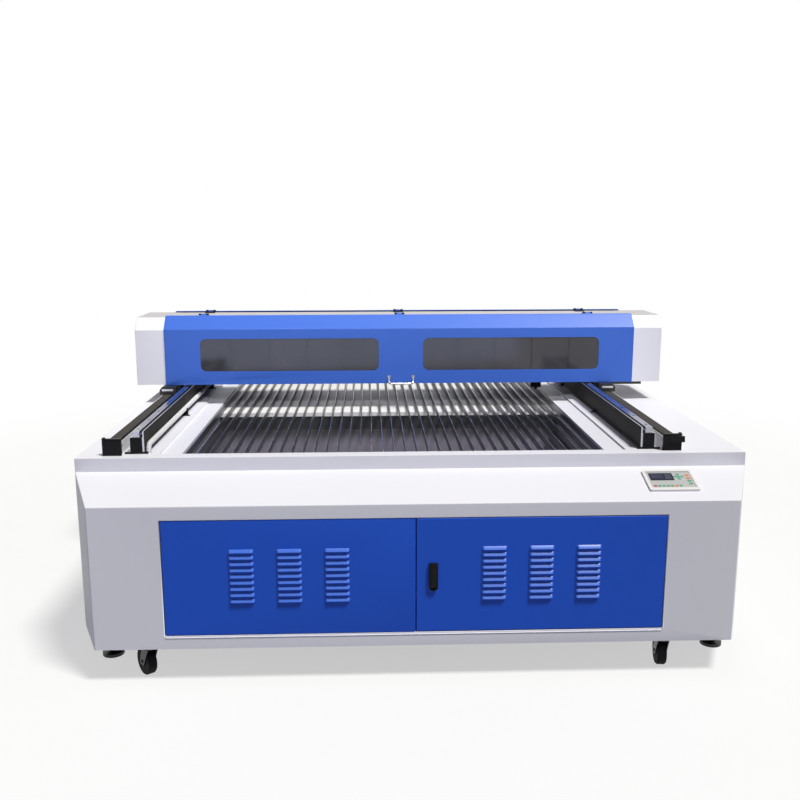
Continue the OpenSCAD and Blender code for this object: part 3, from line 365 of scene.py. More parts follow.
def rail_extrusion():
    """Rail profile: bright cut ends and edges, a blackened inner wall, and painted
    shade along the groove.
    """
    m = Finish("rail_extrusion", Specular_IOR_Level=0.16)
    a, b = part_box("rail_profiles")
    groove = low("guide_rails").z
    across = (m.x - (a.x + b.x) / 2).abs()
    profile, fin, reveal, skin, half_slot = 53 * MM, 5 * MM, 16 * MM, 0.5 * MM, 1 * MM
    wall = (b.x - a.x) / 2 - profile
    inner = across < wall + skin
    # A thin strip on top beside the guide rail's foot is painted black: painted shade
    # in the groove.
    groove_shade = (
        (across > wall + fin + skin)
        * (across < wall + reveal)
        * (m.z > groove - half_slot)
        * (m.z < groove + half_slot)
    )
    # The black mask holds the blackened inner wall and the painted shade in the groove.
    black = inner.at_least(groove_shade)
    line = m.noise(1, 3, 0.6, m.stretched(900, 5, 900))
    smear = m.noise(5, 4, 0.6).step(0.4, 0.8)
    dark = m.mix(smear, (0.012, 0.011, 0.010), (0.028, 0.023, 0.020))
    bright = m.mix(line, (0.44, 0.45, 0.48), (0.54, 0.55, 0.58))
    m.set("Base Color", m.mix(black, bright, dark))
    m.set("Metallic", 1 - black)
    m.set("Roughness", 0.34 + 0.14 * line + 0.2 * black)
    m.set("Normal", m.bump(line, 0.00002))
    return m.material


def clamp_steel(black):
    """Black clamp with a bright steel plate on its front face."""
    m = Finish("clamp_steel")
    thick = 1.3 * MM
    plate = m.y < low("belt_clamps").y + thick
    fine = m.noise(260, 3)
    rub = m.noise(30, 4).step(0.45, 0.8)
    cast = m.mix(rub, black, shade(black, RUBBED))
    m.set("Base Color", m.mix(plate, cast, (0.62, 0.62, 0.66)))
    m.set("Metallic", plate)
    m.set("Roughness", 0.34 - 0.1 * rub + 0.08 * fine)
    m.set("Normal", m.bump(fine, 0.00005))
    return m.material


def keypad_plate():
    """Bezel of pale plastic around a grey printed face."""
    m = Finish("keypad_plate")
    a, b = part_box("keypad_bezel")
    half_width, half_height, rise = 78 * MM, 47 * MM, 3 * MM
    across = (m.x - (a.x + b.x) / 2).abs() < half_width
    along = (m.y - (a.y + b.y) / 2 - rise).abs() < half_height
    face = across * along
    grain = m.noise(500, 2)
    m.set("Base Color", m.mix(face, (0.74, 0.71, 0.73), (0.44, 0.45, 0.46)))
    m.set("Roughness", 0.4 + 0.1 * grain)
    m.set("Normal", m.bump(grain, 0.00003))
    return m.material


def keypad_colours():
    """Membrane keys: green, with a red one at the left and orange ones at the right."""
    m = Finish("membrane_keys", Coat_Weight=0.3)
    u, v = m.share_of("keypad_keys")
    red = (v < 0.15) * (u < 0.08)
    orange = (u > 0.86) * (v > 0.6) + (v < 0.15) * (u > 0.48) * (u < 0.6)
    green = m.mix(m.noise(30, 2), (0.06, 0.30, 0.18), (0.08, 0.36, 0.22))
    warm = m.mix(orange, green, (0.72, 0.20, 0.04))
    m.set("Base Color", m.mix(red, warm, (0.55, 0.03, 0.04)))
    m.set("Roughness", 0.32 + 0.1 * m.noise(300, 2))
    return m.material


def bed_plate_paint():
    """The plate under the slats: pale paint with dull spots."""
    m = Finish("bed_plate_paint")
    spots = m.noise(9, 5, 0.6).step(0.5, 0.8)
    m.set("Base Color", m.mix(spots, (0.80, 0.79, 0.81), (0.68, 0.66, 0.66)))
    m.set("Roughness", 0.5 + 0.2 * spots)
    m.set("Normal", m.bump(m.noise(300, 2), 0.00004))
    return m.material


def pan_enamel():
    """The pit's sheets: painted dark grey as the pit's shade, clouded, and near black
    below the rim as painted shadow of the plate's edge.
    """
    m = Finish("pan_enamel", Specular_IOR_Level=0.2)
    rim = high("catch_pan").z
    # The sheets darken from this far below the rim and are near black from this far:
    # painted shadow of the plate's edge.
    clear, black = 75 * MM, 15 * MM
    rim_shadow = m.z.step(rim - clear, rim - black)
    cloud = m.noise(7, 4).step(0.35, 0.8)
    # The sheets are painted a dark grey-violet: painted shade of the deep pit.
    pit_shade = m.mix(cloud, (0.165, 0.155, 0.205), (0.125, 0.118, 0.160))
    m.set("Base Color", m.mix(rim_shadow, pit_shade, (0.040, 0.038, 0.046)))
    m.set("Roughness", 0.5 + 0.15 * rim_shadow)
    m.set("Normal", m.bump(m.noise(300, 2), 0.00004))
    return m.material


def belt_rubber():
    """Toothed belt: fine dusty ribs across it, darker in the grooves and paler on the
    crests as painted shade, with darker moulded edges.
    """
    m = Finish("toothed_belt", Roughness=0.85, Specular_IOR_Level=0.2)
    a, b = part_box("drive_belts")
    centre = (a.x + b.x) / 2
    reach = (b.x - a.x) / 2
    width, pitch = 40 * MM, 5 * MM
    across = ((m.x - centre).abs() - (reach - width / 2)).abs()
    edge = across.step(width * 0.36, width * 0.42)
    rib = (m.y * (2 * math.pi / pitch)).sin() * 0.5 + 0.5
    greying = m.noise(40, 3)
    # The ribs' colour follows their relief, darker in the grooves: painted shade on the
    # ribs.
    dark = m.mix(rib, (0.022, 0.018, 0.017), (0.075, 0.062, 0.056))
    dusty = m.mix(greying * 0.4, dark, (0.075, 0.066, 0.062))
    m.set("Base Color", m.mix(edge, dusty, (0.012, 0.020, 0.026)))
    m.set("Normal", m.bump(rib * (1 - edge), 0.0006))
    return m.material


def chrome():
    m = Finish("polished_chrome", Metallic=1.0, Base_Color=(0.60, 0.61, 0.64))
    m.set("Roughness", 0.10 + 0.06 * m.noise(90, 3))
    return m.material


def smoked_acrylic():
    """Tinted window sheet with faint upright seams, lighter patches as painted sheen,
    and the inside just showing.
    """
    m = Finish("smoked_acrylic", IOR=1.49)
    spacing, half_line = 0.173, 0.018
    seam = ((m.x * (1 / spacing)).fract() - 0.5).abs() < half_line
    # Lighter patches of the tint: painted sheen standing in for reflections on the
    # sheet.
    acrylic_painted_sheen = m.noise(2.5, 3).step(0.4, 0.8)
    tint = m.mix(acrylic_painted_sheen, (0.044, 0.043, 0.053), (0.058, 0.056, 0.068))
    m.set("Base Color", m.mix(0.8 * seam, tint, (0.012, 0.012, 0.016)))
    m.set("Roughness", 0.05 + 0.07 * m.noise(6, 3))
    m.set("Alpha", 0.86 + 0.05 * m.noise(3, 2))
    return m.material


def tube_glass():
    m = Finish("tube_glass", Base_Color=(0.82, 0.86, 0.88), IOR=1.47)
    m.set("Roughness", 0.04 + 0.04 * m.noise(30, 2))
    m.set("Alpha", 0.34 + 0.06 * m.noise(12, 2))
    return m.material


def keypad_display():
    """Display behind clear film: a dark field with a few pale blocks."""
    m = Finish("keypad_display", Specular_IOR_Level=0.06)
    u, v = m.share_of("keypad_screen")
    row = ((v * 6).fract() - 0.5).abs() < 0.17
    panel = (u > 0.66) * (u < 0.94) * (v > 0.12) * (v < 0.88)
    picture = (u > 0.08) * (u < 0.58) * (v > 0.3) * (v < 0.86)
    field = m.mix(m.noise(60, 2), (0.018, 0.020, 0.040), (0.028, 0.030, 0.055))
    field = m.mix(picture * 0.6, field, (0.06, 0.07, 0.12))
    m.set("Base Color", m.mix(row * panel * 0.7, field, (0.22, 0.24, 0.30)))
    m.set("Roughness", 0.16 + 0.06 * m.noise(200, 2))
    return m.material


# ------------------------------------------------------------------ meshes

# Vertices nearer than this are one.
WELD = 1e-6
# Edges flatter than this stay smooth, and edges sharper than this are rounded.
SMOOTH_ANGLE = math.radians(35)
ROUNDED_ANGLE = math.radians(25)
FLAT_ANGLE = math.radians(0.4)
# An edge is rounded where both faces are wider than this many times the rounding.
LEAST_ROOM = 2.4


def finished(bm, name):
    """Turns a bmesh into an object at the origin."""
    mesh = bpy.data.meshes.new(name)
    bm.to_mesh(mesh)
    bm.free()
    piece = bpy.data.objects.new(name, mesh)
    bpy.context.scene.collection.objects.link(piece)
    return piece


def seat(piece, finish, body, slot, *nodes):
    """Gives a piece its finish and its body, and hides the nodes it stands for; its
    slot is not used.
    """
    if finish:
        piece.data.materials.clear()
        piece.data.materials.append(FINISHES[finish])
    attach(piece, body)
    if nodes:
        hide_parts(*nodes)
    return piece


def apply_modifiers(piece):
    """Bakes a piece's modifiers into its mesh."""
    graph = bpy.context.evaluated_depsgraph_get()
    mesh = bpy.data.meshes.new_from_object(piece.evaluated_get(graph))
    piece.modifiers.clear()
    old = piece.data
    piece.data = mesh
    bpy.data.meshes.remove(old)
    return piece


def weigh_normals(piece):
    """Smooth rounded edges between faces that stay flat."""
    piece.data.shade_smooth()
    piece.data.set_sharp_from_angle(angle=SMOOTH_ANGLE)
    weigh = piece.modifiers.new("weigh", "WEIGHTED_NORMAL")
    weigh.keep_sharp = True
    return apply_modifiers(piece)


def outer_edges(bm, width):
    """Convex edges between two faces that are both wide enough to be rounded."""
    room = {face: 2 * face.calc_area() / face.calc_perimeter() for face in bm.faces}
    return [
        edge
        for edge in bm.edges
        if len(edge.link_faces) == 2
        and edge.calc_face_angle_signed(0) > ROUNDED_ANGLE
        and min(room[face] for face in edge.link_faces) > LEAST_ROOM * width
    ]


def rounded_copy(node, width, finish, slot, keep=None):
    """A copy of a CAD node with its outer edges rounded, which stands for it."""
    bm = bmesh.new()
    bm.from_mesh(NODES[node].data)
    bmesh.ops.remove_doubles(bm, verts=bm.verts, dist=WELD)
    if keep:
        gone = [v for v in bm.verts if not keep(v.co)]
        bmesh.ops.delete(bm, geom=gone, context="VERTS")
    bmesh.ops.dissolve_limit(
        bm, angle_limit=FLAT_ANGLE, verts=bm.verts, edges=bm.edges
    )
    bmesh.ops.bevel(
        bm,
        geom=outer_edges(bm, width),
        offset=width,
        offset_type="OFFSET",
        segments=3,
        profile=0.5,
        affect="EDGES",
        clamp_overlap=True,
    )
    bmesh.ops.triangulate(bm, faces=[f for f in bm.faces if len(f.verts) > 4])
    piece = weigh_normals(finished(bm, f"{node}_rounded"))
    return seat(piece, finish, BODY_OF[node], slot, node)


def paint(finish, *nodes):
    """Puts a finish on CAD nodes whose shape stays."""
    for node in nodes:
        data = NODES[node].data
        data.materials.clear()
        data.materials.append(FINISHES[finish])


def lathe(profile, axis, place, steps):
    """A turned form: (radius, height) pairs spun about an axis through a place."""
    bm = bmesh.new()
    ring = [bm.verts.new((r, 0, h)) for r, h in profile]
    edges = [bm.edges.new(pair) for pair in zip(ring, ring[1:])]
    bmesh.ops.spin(
        bm,
        geom=ring + edges,
        cent=(0, 0, 0),
        axis=(0, 0, 1),
        angle=2 * math.pi,
        steps=steps,
        use_duplicate=False,
    )
    bmesh.ops.remove_doubles(bm, verts=bm.verts, dist=WELD)
    bmesh.ops.recalc_face_normals(bm, faces=bm.faces)
    turn = Vector((0, 0, 1)).rotation_difference(Vector(axis)).to_matrix().to_4x4()
    bm.transform(Matrix.Translation(Vector(place)) @ turn)
    return bm


# ------------------------------------------------------------------ geometry nodes


class Pattern(Sheet):
    """A Geometry Nodes tree that ends in Realize Instances and Set Material."""

    def __init__(self, name, sizes):
        tree = bpy.data.node_groups.new(name, "GeometryNodeTree")
        face = tree.interface
        face.new_socket("Geometry", in_out="INPUT", socket_type="NodeSocketGeometry")
        for size in sizes:
            face.new_socket(size, in_out="INPUT", socket_type="NodeSocketFloat")
        face.new_socket("Facing", in_out="INPUT", socket_type="NodeSocketVector")
        face.new_socket("Finish", in_out="INPUT", socket_type="NodeSocketMaterial")
        face.new_socket("Geometry", in_out="OUTPUT", socket_type="NodeSocketGeometry")
        super().__init__(tree)
        self.entry = tree.nodes.new("NodeGroupInput")
        self.exit = tree.nodes.new("NodeGroupOutput")

    def given(self, name):
        return Value(self, self.entry.outputs[name])

    def moved(self, shape, height, kind="Transform", socket="Translation"):
        """A shape that is moved along its own Z, as a whole or point by point."""
        way = self.node("ShaderNodeCombineXYZ", None, {2: height})
        return self.node(f"GeometryNode{kind}", None, {"Geometry": shape, socket: way})

    def cylinder(self, sides, radius, depth):
        sockets = {"Vertices": sides, "Radius": radius, "Depth": depth}
        return self.node("GeometryNodeMeshCylinder", None, sockets)

    def tube(self, path, sides, radius, caps=False):
        """A round tube along a curve."""
        ring = self.circle(sides, radius)
        sockets = {"Curve": path, "Profile Curve": ring, "Fill Caps": caps}
        return self.node("GeometryNodeCurveToMesh", None, sockets)

    def circle(self, sides, radius):
        sockets = {"Resolution": sides, "Radius": radius}
        return self.node("GeometryNodeCurvePrimitiveCircle", None, sockets)

    def joined(self, *layers):
        whole = self.node("GeometryNodeJoinGeometry")
        for layer in layers:
            self.feed(whole.socket.node.inputs[0], layer)
        return whole

    def at_points(self, form):
        """Copies a form to every point, turned to face one way."""
        turn = self.node(
            "FunctionNodeAlignRotationToVector",
            {"axis": "Z"},
            {"Vector": self.given("Facing")},
        )
        copies = self.node(
            "GeometryNodeInstanceOnPoints",
            None,
            {"Points": self.given("Geometry"), "Instance": form, "Rotation": turn},
        )
        self.close(copies)

    def close(self, shape):
        real = self.node("GeometryNodeRealizeInstances", None, {0: shape})
        done = self.node(
            "GeometryNodeSetMaterial",
            None,
            {"Geometry": real, "Material": self.given("Finish")},
        )
        self.feed(self.exit.inputs[0], done)
        return self.tree


def cap_screw_pattern():
    """Socket-head screws: a round head with a six-sided hole."""
    p = Pattern("cap_screws", ["Radius", "Height"])
    radius = p.given("Radius")
    height = p.given("Height")
    hole_width, hole_floor = 0.56, 0.4
    head = p.cylinder(20, radius, height)
    hole = p.moved(p.cylinder(6, radius * hole_width, height), height * hole_floor)
    cut = p.node(
        "GeometryNodeMeshBoolean",
        {"operation": "DIFFERENCE"},
        {"Mesh 1": head, "Mesh 2": hole},
    )
    p.at_points(p.moved(cut, height * 0.5))
    return p.tree


def louvre_pattern():
    """Pressed louvres: a hood that swells down to its open lip, with round ends."""
    p = Pattern("louvres", ["Width", "Drop", "Depth", "Sheet"])
    width = p.given("Width")
    drop = p.given("Drop")
    curve, corner, sunk = 0.85, 0.7, 0.2 * MM
    grid = p.node(
        "GeometryNodeMeshGrid",
        None,
        {"Size X": width, "Size Y": drop, "Vertices X": 29, "Vertices Y": 9},
    )
    place = p.node("GeometryNodeInputPosition")
    x, y = (p.node("ShaderNodeSeparateXYZ", None, {0: place}, axis) for axis in "XY")
    down = 0.5 - y / drop
    end = ((width * 0.5 - x.abs()) / (drop * corner)).at_most(1.0)
    round_end = (1 - (1 - end) ** 2).at_least(0.0) ** 0.5
    lift = p.given("Depth") * down ** curve * round_end - sunk
    hood = p.moved(grid, lift, "SetPosition", "Offset")
    outer = p.node(
        "GeometryNodeExtrudeMesh",
        {"mode": "FACES"},
        {"Mesh": hood, "Offset Scale": p.given("Sheet"), "Individual": False},
    )
    shell = p.joined(outer, p.node("GeometryNodeFlipFaces", None, {0: hood}))
    sockets = {"Geometry": shell, "Distance": WELD}
    p.at_points(p.node("GeometryNodeMergeByDistance", None, sockets))
    return p.tree


def conduit_pattern():
    """Ribbed conduit along a path: a core tube with a ring at each rib."""
    p = Pattern("conduit_ribs", ["Radius", "Pitch", "Rib"])
    rib = p.given("Rib")
    core = p.given("Radius") - rib
    path = p.node("GeometryNodeMeshToCurve", None, {0: p.given("Geometry")})
    stations = p.node(
        "GeometryNodeCurveToPoints",
        {"mode": "LENGTH"},
        {"Curve": path, "Length": p.given("Pitch")},
    ).socket.node.outputs
    rings = p.node(
        "GeometryNodeInstanceOnPoints",
        None,
        {
            "Points": stations["Points"],
            "Instance": p.tube(p.circle(14, core), 5, rib),
            "Rotation": stations["Rotation"],
        },
    )
    p.close(p.joined(p.tube(path, 14, core, caps=True), rings))
    return p.tree


def spread(name, tree, points, facing, finish, body, slot, *nodes, links=(), **sizes):
    """Runs a pattern over points, and seats the plain mesh that comes out."""
    mesh = bpy.data.meshes.new(name)
    mesh.from_pydata([tuple(p) for p in points], list(links), [])
    piece = bpy.data.objects.new(name, mesh)
    bpy.context.scene.collection.objects.link(piece)
    modifier = piece.modifiers.new(name, "NODES")
    values = dict(sizes, Facing=facing, Finish=FINISHES[finish])
    modifier.node_group = tree
    for item in tree.interface.items_tree:
        if item.in_out == "INPUT" and item.name in values:
            modifier[item.identifier] = values[item.name]
    apply_modifiers(piece)
    return seat(piece, None, body, slot, *nodes)


FINISHES = {}
PATTERNS = {}

# ------------------------------------------------------------------ settings


def length_setting(name, about, default, lowest, highest):
    return bpy.props.FloatProperty(
        name=name,
        description=about,
        default=default,
        min=lowest,
        max=highest,
        unit="LENGTH",
        precision=4,
    )


def colour_setting(name, about, default):
    return bpy.props.FloatVectorProperty(
        name=name,
        description=about,
        default=default,
        size=3,
        min=0,
        max=1,
        subtype="COLOR",
    )


class CutterColours(bpy.types.PropertyGroup):
    """Paint colours of the machine."""

    white: colour_setting("White coat", "Cabinet and bridge ends", (0.785, 0.78, 0.865))
    blue: colour_setting("Blue coat", "Doors", (0.012, 0.088, 0.60))
    # The door blue made paler: painted sheen on the bridge covers.
    cover: colour_setting("Cover coat", "Bridge covers", (0.042, 0.130, 0.56))
    black: colour_setting(
        "Black parts", "Blocks, clamps and lock", (0.007, 0.007, 0.008)
    )


class CutterSizes(bpy.types.PropertyGroup):
    """Sizes that the looks add to the frame."""

    sheet_edge: length_setting(
        "Sheet edge", "Radius of folded sheet edges", 0.003, 0.0005, 0.01
    )
    block_edge: length_setting(
        "Block edge", "Radius of machined edges", 0.0012, 0.0003, 0.004
    )
    louvre_drop: length_setting(
        "Louvre drop", "Height of one louvre", 0.0100, 0.008, 0.02
    )
    louvre_depth: length_setting(
        "Louvre depth", "How far a louvre stands out", 0.0082, 0.002, 0.01
    )
    rib_pitch: length_setting(
        "Rib pitch", "Distance of the conduit's ribs", 0.008, 0.003, 0.01
    )


def sizes():
    return bpy.context.scene.cutter_sizes


# ------------------------------------------------------------------ pieces

# Roundings of parts whose edges no setting changes.
DOOR_EDGE = 3 * MM
LOCK_EDGE = 1 * MM
HINGE_EDGE = 0.6 * MM
# The bridge's covers have smaller roundings than the cabinet: this share of them.
COVER_SHARE = 0.7

# Louvres: columns from the door's middle, rows down from below the deck's top.
LOUVRE_COLUMNS = (-1, 0, 1)
LOUVRE_ROWS = 9
COLUMN_PITCH = 162.5 * MM
ROW_PITCH = 22.3 * MM
LOUVRES_BELOW = 270 * MM
LOUVRE_WIDTH = 83 * MM
LOUVRE_SHEET = 1.1 * MM

# Bent lips of the door opening: their gap to the doors, height and depth.
LIP_GAP = 1.5 * MM
LIP_RISE = 2.4 * MM
LIP_OUT = 2 * MM

# Screws on the guide rails: the first and the last keep this far from the ends.
SCREW_FIRST = 40 * MM
SCREW_LAST = 20 * MM
SCREW_PITCH = 160 * MM
SCREW_RADIUS = 4.6 * MM
SCREW_HEIGHT = 5 * MM
SCREW_SUNK = 6 * MM
HALF_GUIDE = 13 * MM

# Ribbed conduit and the cable beside it.
CONDUIT_RADIUS = 10 * MM
CONDUIT_BEND = 24 * MM
CONDUIT_RIB = 1.1 * MM
CONDUIT_STEPS = 120
BEND_STEPS = 6
CABLE_RADIUS = 3 * MM
CABLE_SIDES = 16


class CUTTER_OT_cabinet(bpy.types.Operator):
    """Finish the cabinet's sheets, its frame and the exhaust outlets"""

    bl_idname = "cutter.cabinet"
    bl_label = "Cabinet"

    def execute(self, context):
        edge = sizes().sheet_edge
        for node in (
            "deck",
            "front_console",
            "left_side_panel",
            "right_side_panel",
            "rear_panel",
        ):
            rounded_copy(node, edge, "white", "white_paint")
        paint("frame", "base_frame")
        paint("zinc", "exhaust_outlets", "bay_back_plate")
        return {"FINISHED"}


class CUTTER_OT_bed(bpy.types.Operator):
    """Finish the slatted bed and the pit below it"""

    bl_idname = "cutter.bed"
    bl_label = "Slatted bed"

    def execute(self, context):
        paint("slat", "slats")
        paint("plate", "bed_plate")
        paint("pan", "catch_pan")
        # The cross beams take the dark frame enamel: painted shade below the plate's
        # front edge.
        paint("frame", "cross_beams")
        paint("white", "slat_frame")
        return {"FINISHED"}


class CUTTER_OT_doors(bpy.types.Operator):
    """Build the doors with their pressed louvres, and finish the lock"""

    bl_idname = "cutter.doors"
    bl_label = "Doors"

    def execute(self, context):
        face = min(v.co.y for v in NODES["front_console"].data.vertices)
        drop = sizes().louvre_drop
        top = DATUM.z - LOUVRES_BELOW - drop / 2
        for node in ("left_door", "right_door"):
            rounded_copy(
                node,
                DOOR_EDGE,
                "blue",
                "blue_paint",
                keep=lambda co: co.y > face - 0.1 * MM,
            )
            a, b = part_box(node)
            centre = (a.x + b.x) / 2
            points = [
                (centre + column * COLUMN_PITCH, face, top - row * ROW_PITCH)
                for column in LOUVRE_COLUMNS
                for row in range(LOUVRE_ROWS)
            ]
            spread(
                f"{node}_louvres",
                PATTERNS["louvre"],
                points,
                (0, -1, 0),
                "hood",
                node,
                "blue_paint",
                Width=LOUVRE_WIDTH,
                Drop=drop,
                Depth=sizes().louvre_depth,
                Sheet=LOUVRE_SHEET,
            )
        self.lips(face)
        for node in ("lock_case", "lock_lever"):
            rounded_copy(node, LOCK_EDGE, "matt_black", "black_part")
        return {"FINISHED"}

    def lips(self, face):
        """Bent lips below and beside the door opening, turned to the light."""
        a, b = low("left_door"), high("right_door")
        foot, side = a.z - LIP_GAP, b.x + LIP_GAP
        bm = bmesh.new()
        for start, end, out in (
            ((a.x, foot), (b.x, foot), (0, -LIP_RISE)),
            ((side, b.z), (side, foot), (LIP_RISE * 0.6, 0)),
        ):
            rings = [
                [
                    bm.verts.new((x, face, z)),
                    bm.verts.new((x + out[0], face - LIP_OUT, z + out[1])),
                    bm.verts.new((x + out[0], face, z + out[1])),
                ]
                for x, z in (start, end)
            ]
            for ring in rings:
                bm.faces.new(ring)
            for i in range(3):
                j = (i + 1) % 3
                bm.faces.new((rings[0][i], rings[0][j], rings[1][j], rings[1][i]))
        bmesh.ops.recalc_face_normals(bm, faces=bm.faces)
        seat(finished(bm, "door_lips"), "white", "machine", "white_paint")


class CUTTER_OT_rails(bpy.types.Operator):
    """Finish the guide rails, belts and end blocks, with their screws"""

    bl_idname = "cutter.rails"
    bl_label = "Rails and belts"

    def execute(self, context):
        edge = sizes().block_edge
        paint("rail", "rail_profiles")
        paint("track", "belt_tracks")
        paint("guide", "guide_rails")
        paint("ground", "drive_shaft", "left_idler_pulley", "right_idler_pulley")
        paint("belt", "drive_belts")
        paint("frame", "drive_motor")
        rounded_copy("belt_end_blocks", edge * 2, "black", "black_part")
        rounded_copy("rail_end_caps", edge, "matt_black", "black_plastic")
        a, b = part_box("guide_rails")
        half = (b.x - a.x) / 2 - HALF_GUIDE
        mid = (a.x + b.x) / 2
        first = low("rail_profiles").y + SCREW_FIRST
        run = high("rail_profiles").y - SCREW_LAST - first
        points = [
            (mid + side * half, first + i * SCREW_PITCH, b.z - SCREW_SUNK)
            for side in (-1, 1)
            for i in range(int(run / SCREW_PITCH) + 1)
        ]
        spread(
            "rail_screws",
            PATTERNS["screw"],
            points,
            (0, 0, 1),
            "black",
            "machine",
            "steel",
            Radius=SCREW_RADIUS,
            Height=SCREW_HEIGHT,
        )
        return {"FINISHED"}


class CUTTER_OT_conduit(bpy.types.Operator):
    """Build the ribbed conduit and the thin cable beside the rails"""

    bl_idname = "cutter.conduit"
    bl_label = "Conduit and cable"

    def execute(self, context):
        a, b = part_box("cable_conduit")
        self.conduit(a, b)
        self.cable(a, b)
        paint("matt_black", "cable_clips")
        return {"FINISHED"}

    def conduit(self, a, b):
        """The conduit: it rises from the deck, runs back, and goes down again."""
        radius, bend = CONDUIT_RADIUS, CONDUIT_BEND
        rise = b.z - radius
        front = a.y + bend + radius
        back = b.y - bend - radius
        x = a.x + radius
        run = (back - front) / CONDUIT_STEPS
        quarter = [math.pi / 2 * i / BEND_STEPS for i in range(BEND_STEPS + 1)]
        curve = [(bend * math.sin(t), bend * math.cos(t)) for t in quarter]
        path = [
            (x, front - bend, a.z + radius),
            *((x, front - cos, rise - bend + sin) for sin, cos in curve),
            *((x, front + i * run, rise) for i in range(1, CONDUIT_STEPS)),
            *((x, back + sin, rise - bend + cos) for sin, cos in curve),
            (x, back + bend, a.z + radius),
        ]
        spread(
            "ribbed_conduit",
            PATTERNS["conduit"],
            path,
            (0, 0, 1),
            "conduit",
            "machine",
            "black_plastic",
            "cable_conduit",
            links=[(i, i + 1) for i in range(len(path) - 1)],
            Radius=radius,
            Pitch=sizes().rib_pitch,
            Rib=CONDUIT_RIB,
        )

    def cable(self, a, b):
        """The thin cable: a straight rod with slightly rounded ends."""
        thin = CABLE_RADIUS
        ends = [(thin * share, h) for share, h in ((0, 0), (0.8, 0), (1, 1 * MM))]
        run = b.y - a.y - 2 * CONDUIT_RADIUS
        profile = ends + [(r, run - h) for r, h in reversed(ends)]
        foot = (b.x - thin, a.y + CONDUIT_RADIUS, DATUM.z + thin)
        bm = lathe(profile, (0, 1, 0), foot, CABLE_SIDES)
        cable = weigh_normals(finished(bm, "thin_cable"))
        seat(cable, "cable", "machine", "black_plastic", "cable_conduit")


class CUTTER_OT_bridge(bpy.types.Operator):
    """Finish the bridge's housing, covers, windows, handle and hinges"""

    bl_idname = "cutter.bridge"
    bl_label = "Bridge"

    def execute(self, context):
        edge = sizes().sheet_edge
        rounded_copy("bridge_housing", edge, "housing", "white_paint")
        rounded_copy("front_cover", edge * COVER_SHARE, "cover", "blue_paint")
        rounded_copy("rear_cover", edge * COVER_SHARE, "rear", "blue_paint")
        paint("smoked", "front_windows")
        paint("chrome", "front_handle")
        rounded_copy("cover_hinges", HINGE_EDGE, "black", "black_part")
        paint("clamp", "belt_clamps")
        paint("beam", "bridge_beam")
        paint("ground", "bearing_blocks")
        return {"FINISHED"}


class CUTTER_OT_laser(bpy.types.Operator):
    """Finish the laser tube, its mirrors and the cutting head"""

    bl_idname = "cutter.laser"
    bl_label = "Laser and head"

    def execute(self, context):
        paint("glass", "laser_tube")
        paint("matt_black", "tube_holders", "head_drive")
        paint("brass", "mirror_mounts")
        paint("ground_x", "head_rail")
        paint("beam", "head_carriage")
        paint("black", "focus_tube")
        return {"FINISHED"}


class CUTTER_OT_keypad(bpy.types.Operator):
    """Finish the keypad, its display and its keys"""

    bl_idname = "cutter.keypad"
    bl_label = "Keypad"

    def execute(self, context):
        paint("bezel", "keypad_bezel")
        paint("screen", "keypad_screen")
        paint("keys", "keypad_keys")
        return {"FINISHED"}


class CUTTER_OT_feet(bpy.types.Operator):
    """Finish the levelling feet and the casters"""

    bl_idname = "cutter.feet"
    bl_label = "Feet and casters"

    def execute(self, context):
        paint("frame", "caster_plates")
        paint("foot", "levelling_feet")
        for place in ("front_left", "front_right", "rear_left", "rear_right"):
            paint("foot", f"{place}_fork")
            paint("rubber", f"{place}_wheel")
        return {"FINISHED"}


class CUTTER_OT_electrics(bpy.types.Operator):
    """Finish the electrics behind the doors"""

    bl_idname = "cutter.electrics"
    bl_label = "Electrics"

    def execute(self, context):
        paint("zinc", "laser_power_supply")
        paint("frame", "drive_electronics")
        return {"FINISHED"}


# ------------------------------------------------------------------ stage

# The camera's place from the datum, its turns in degrees, and its lens.
EYE = Vector((-0.155, -3.100, 0.800))
YAW, PITCH, ROLL = 1.94, 10.93, -0.088
LENS, SENSOR = 40.34, 36

# The sun stands overhead, a little to the front and to the right.
SUN_FROM = (0.38, -0.33, 1)
SUN_POWER = 3.58
SUN_WIDTH = math.radians(12)
SUN_COLOUR = (1, 0.985, 0.90)

# Light that reaches the machine from all round.
AIR_COLOUR = (0.72, 0.79, 1, 1)
AIR_POWER = 0.09
WHITE = (1, 1, 1, 1)

# The floor glows more from the near distance to the far one.
FLOOR_HALF = 30
NEAR, FAR = 1.6, 4.5
NEAR_GLOW, MORE_GLOW = 0.54, 0.46


def link_lamp(name, light, turn, place=(0, 0, 0)):
    lamp = bpy.data.objects.new(name, light)
    lamp.location = place
    lamp.rotation_euler = turn.to_euler()
    bpy.context.scene.collection.objects.link(lamp)


def area_light(name, place, target, size, power, colour, spread=180):
    light = bpy.data.lights.new(name, "AREA")
    light.shape = "RECTANGLE"
    light.size, light.size_y = size
    light.energy = power
    light.color = colour
    light.spread = math.radians(spread)
    way = Vector(target) - Vector(place)
    link_lamp(name, light, way.to_track_quat("-Z", "Y"), place)


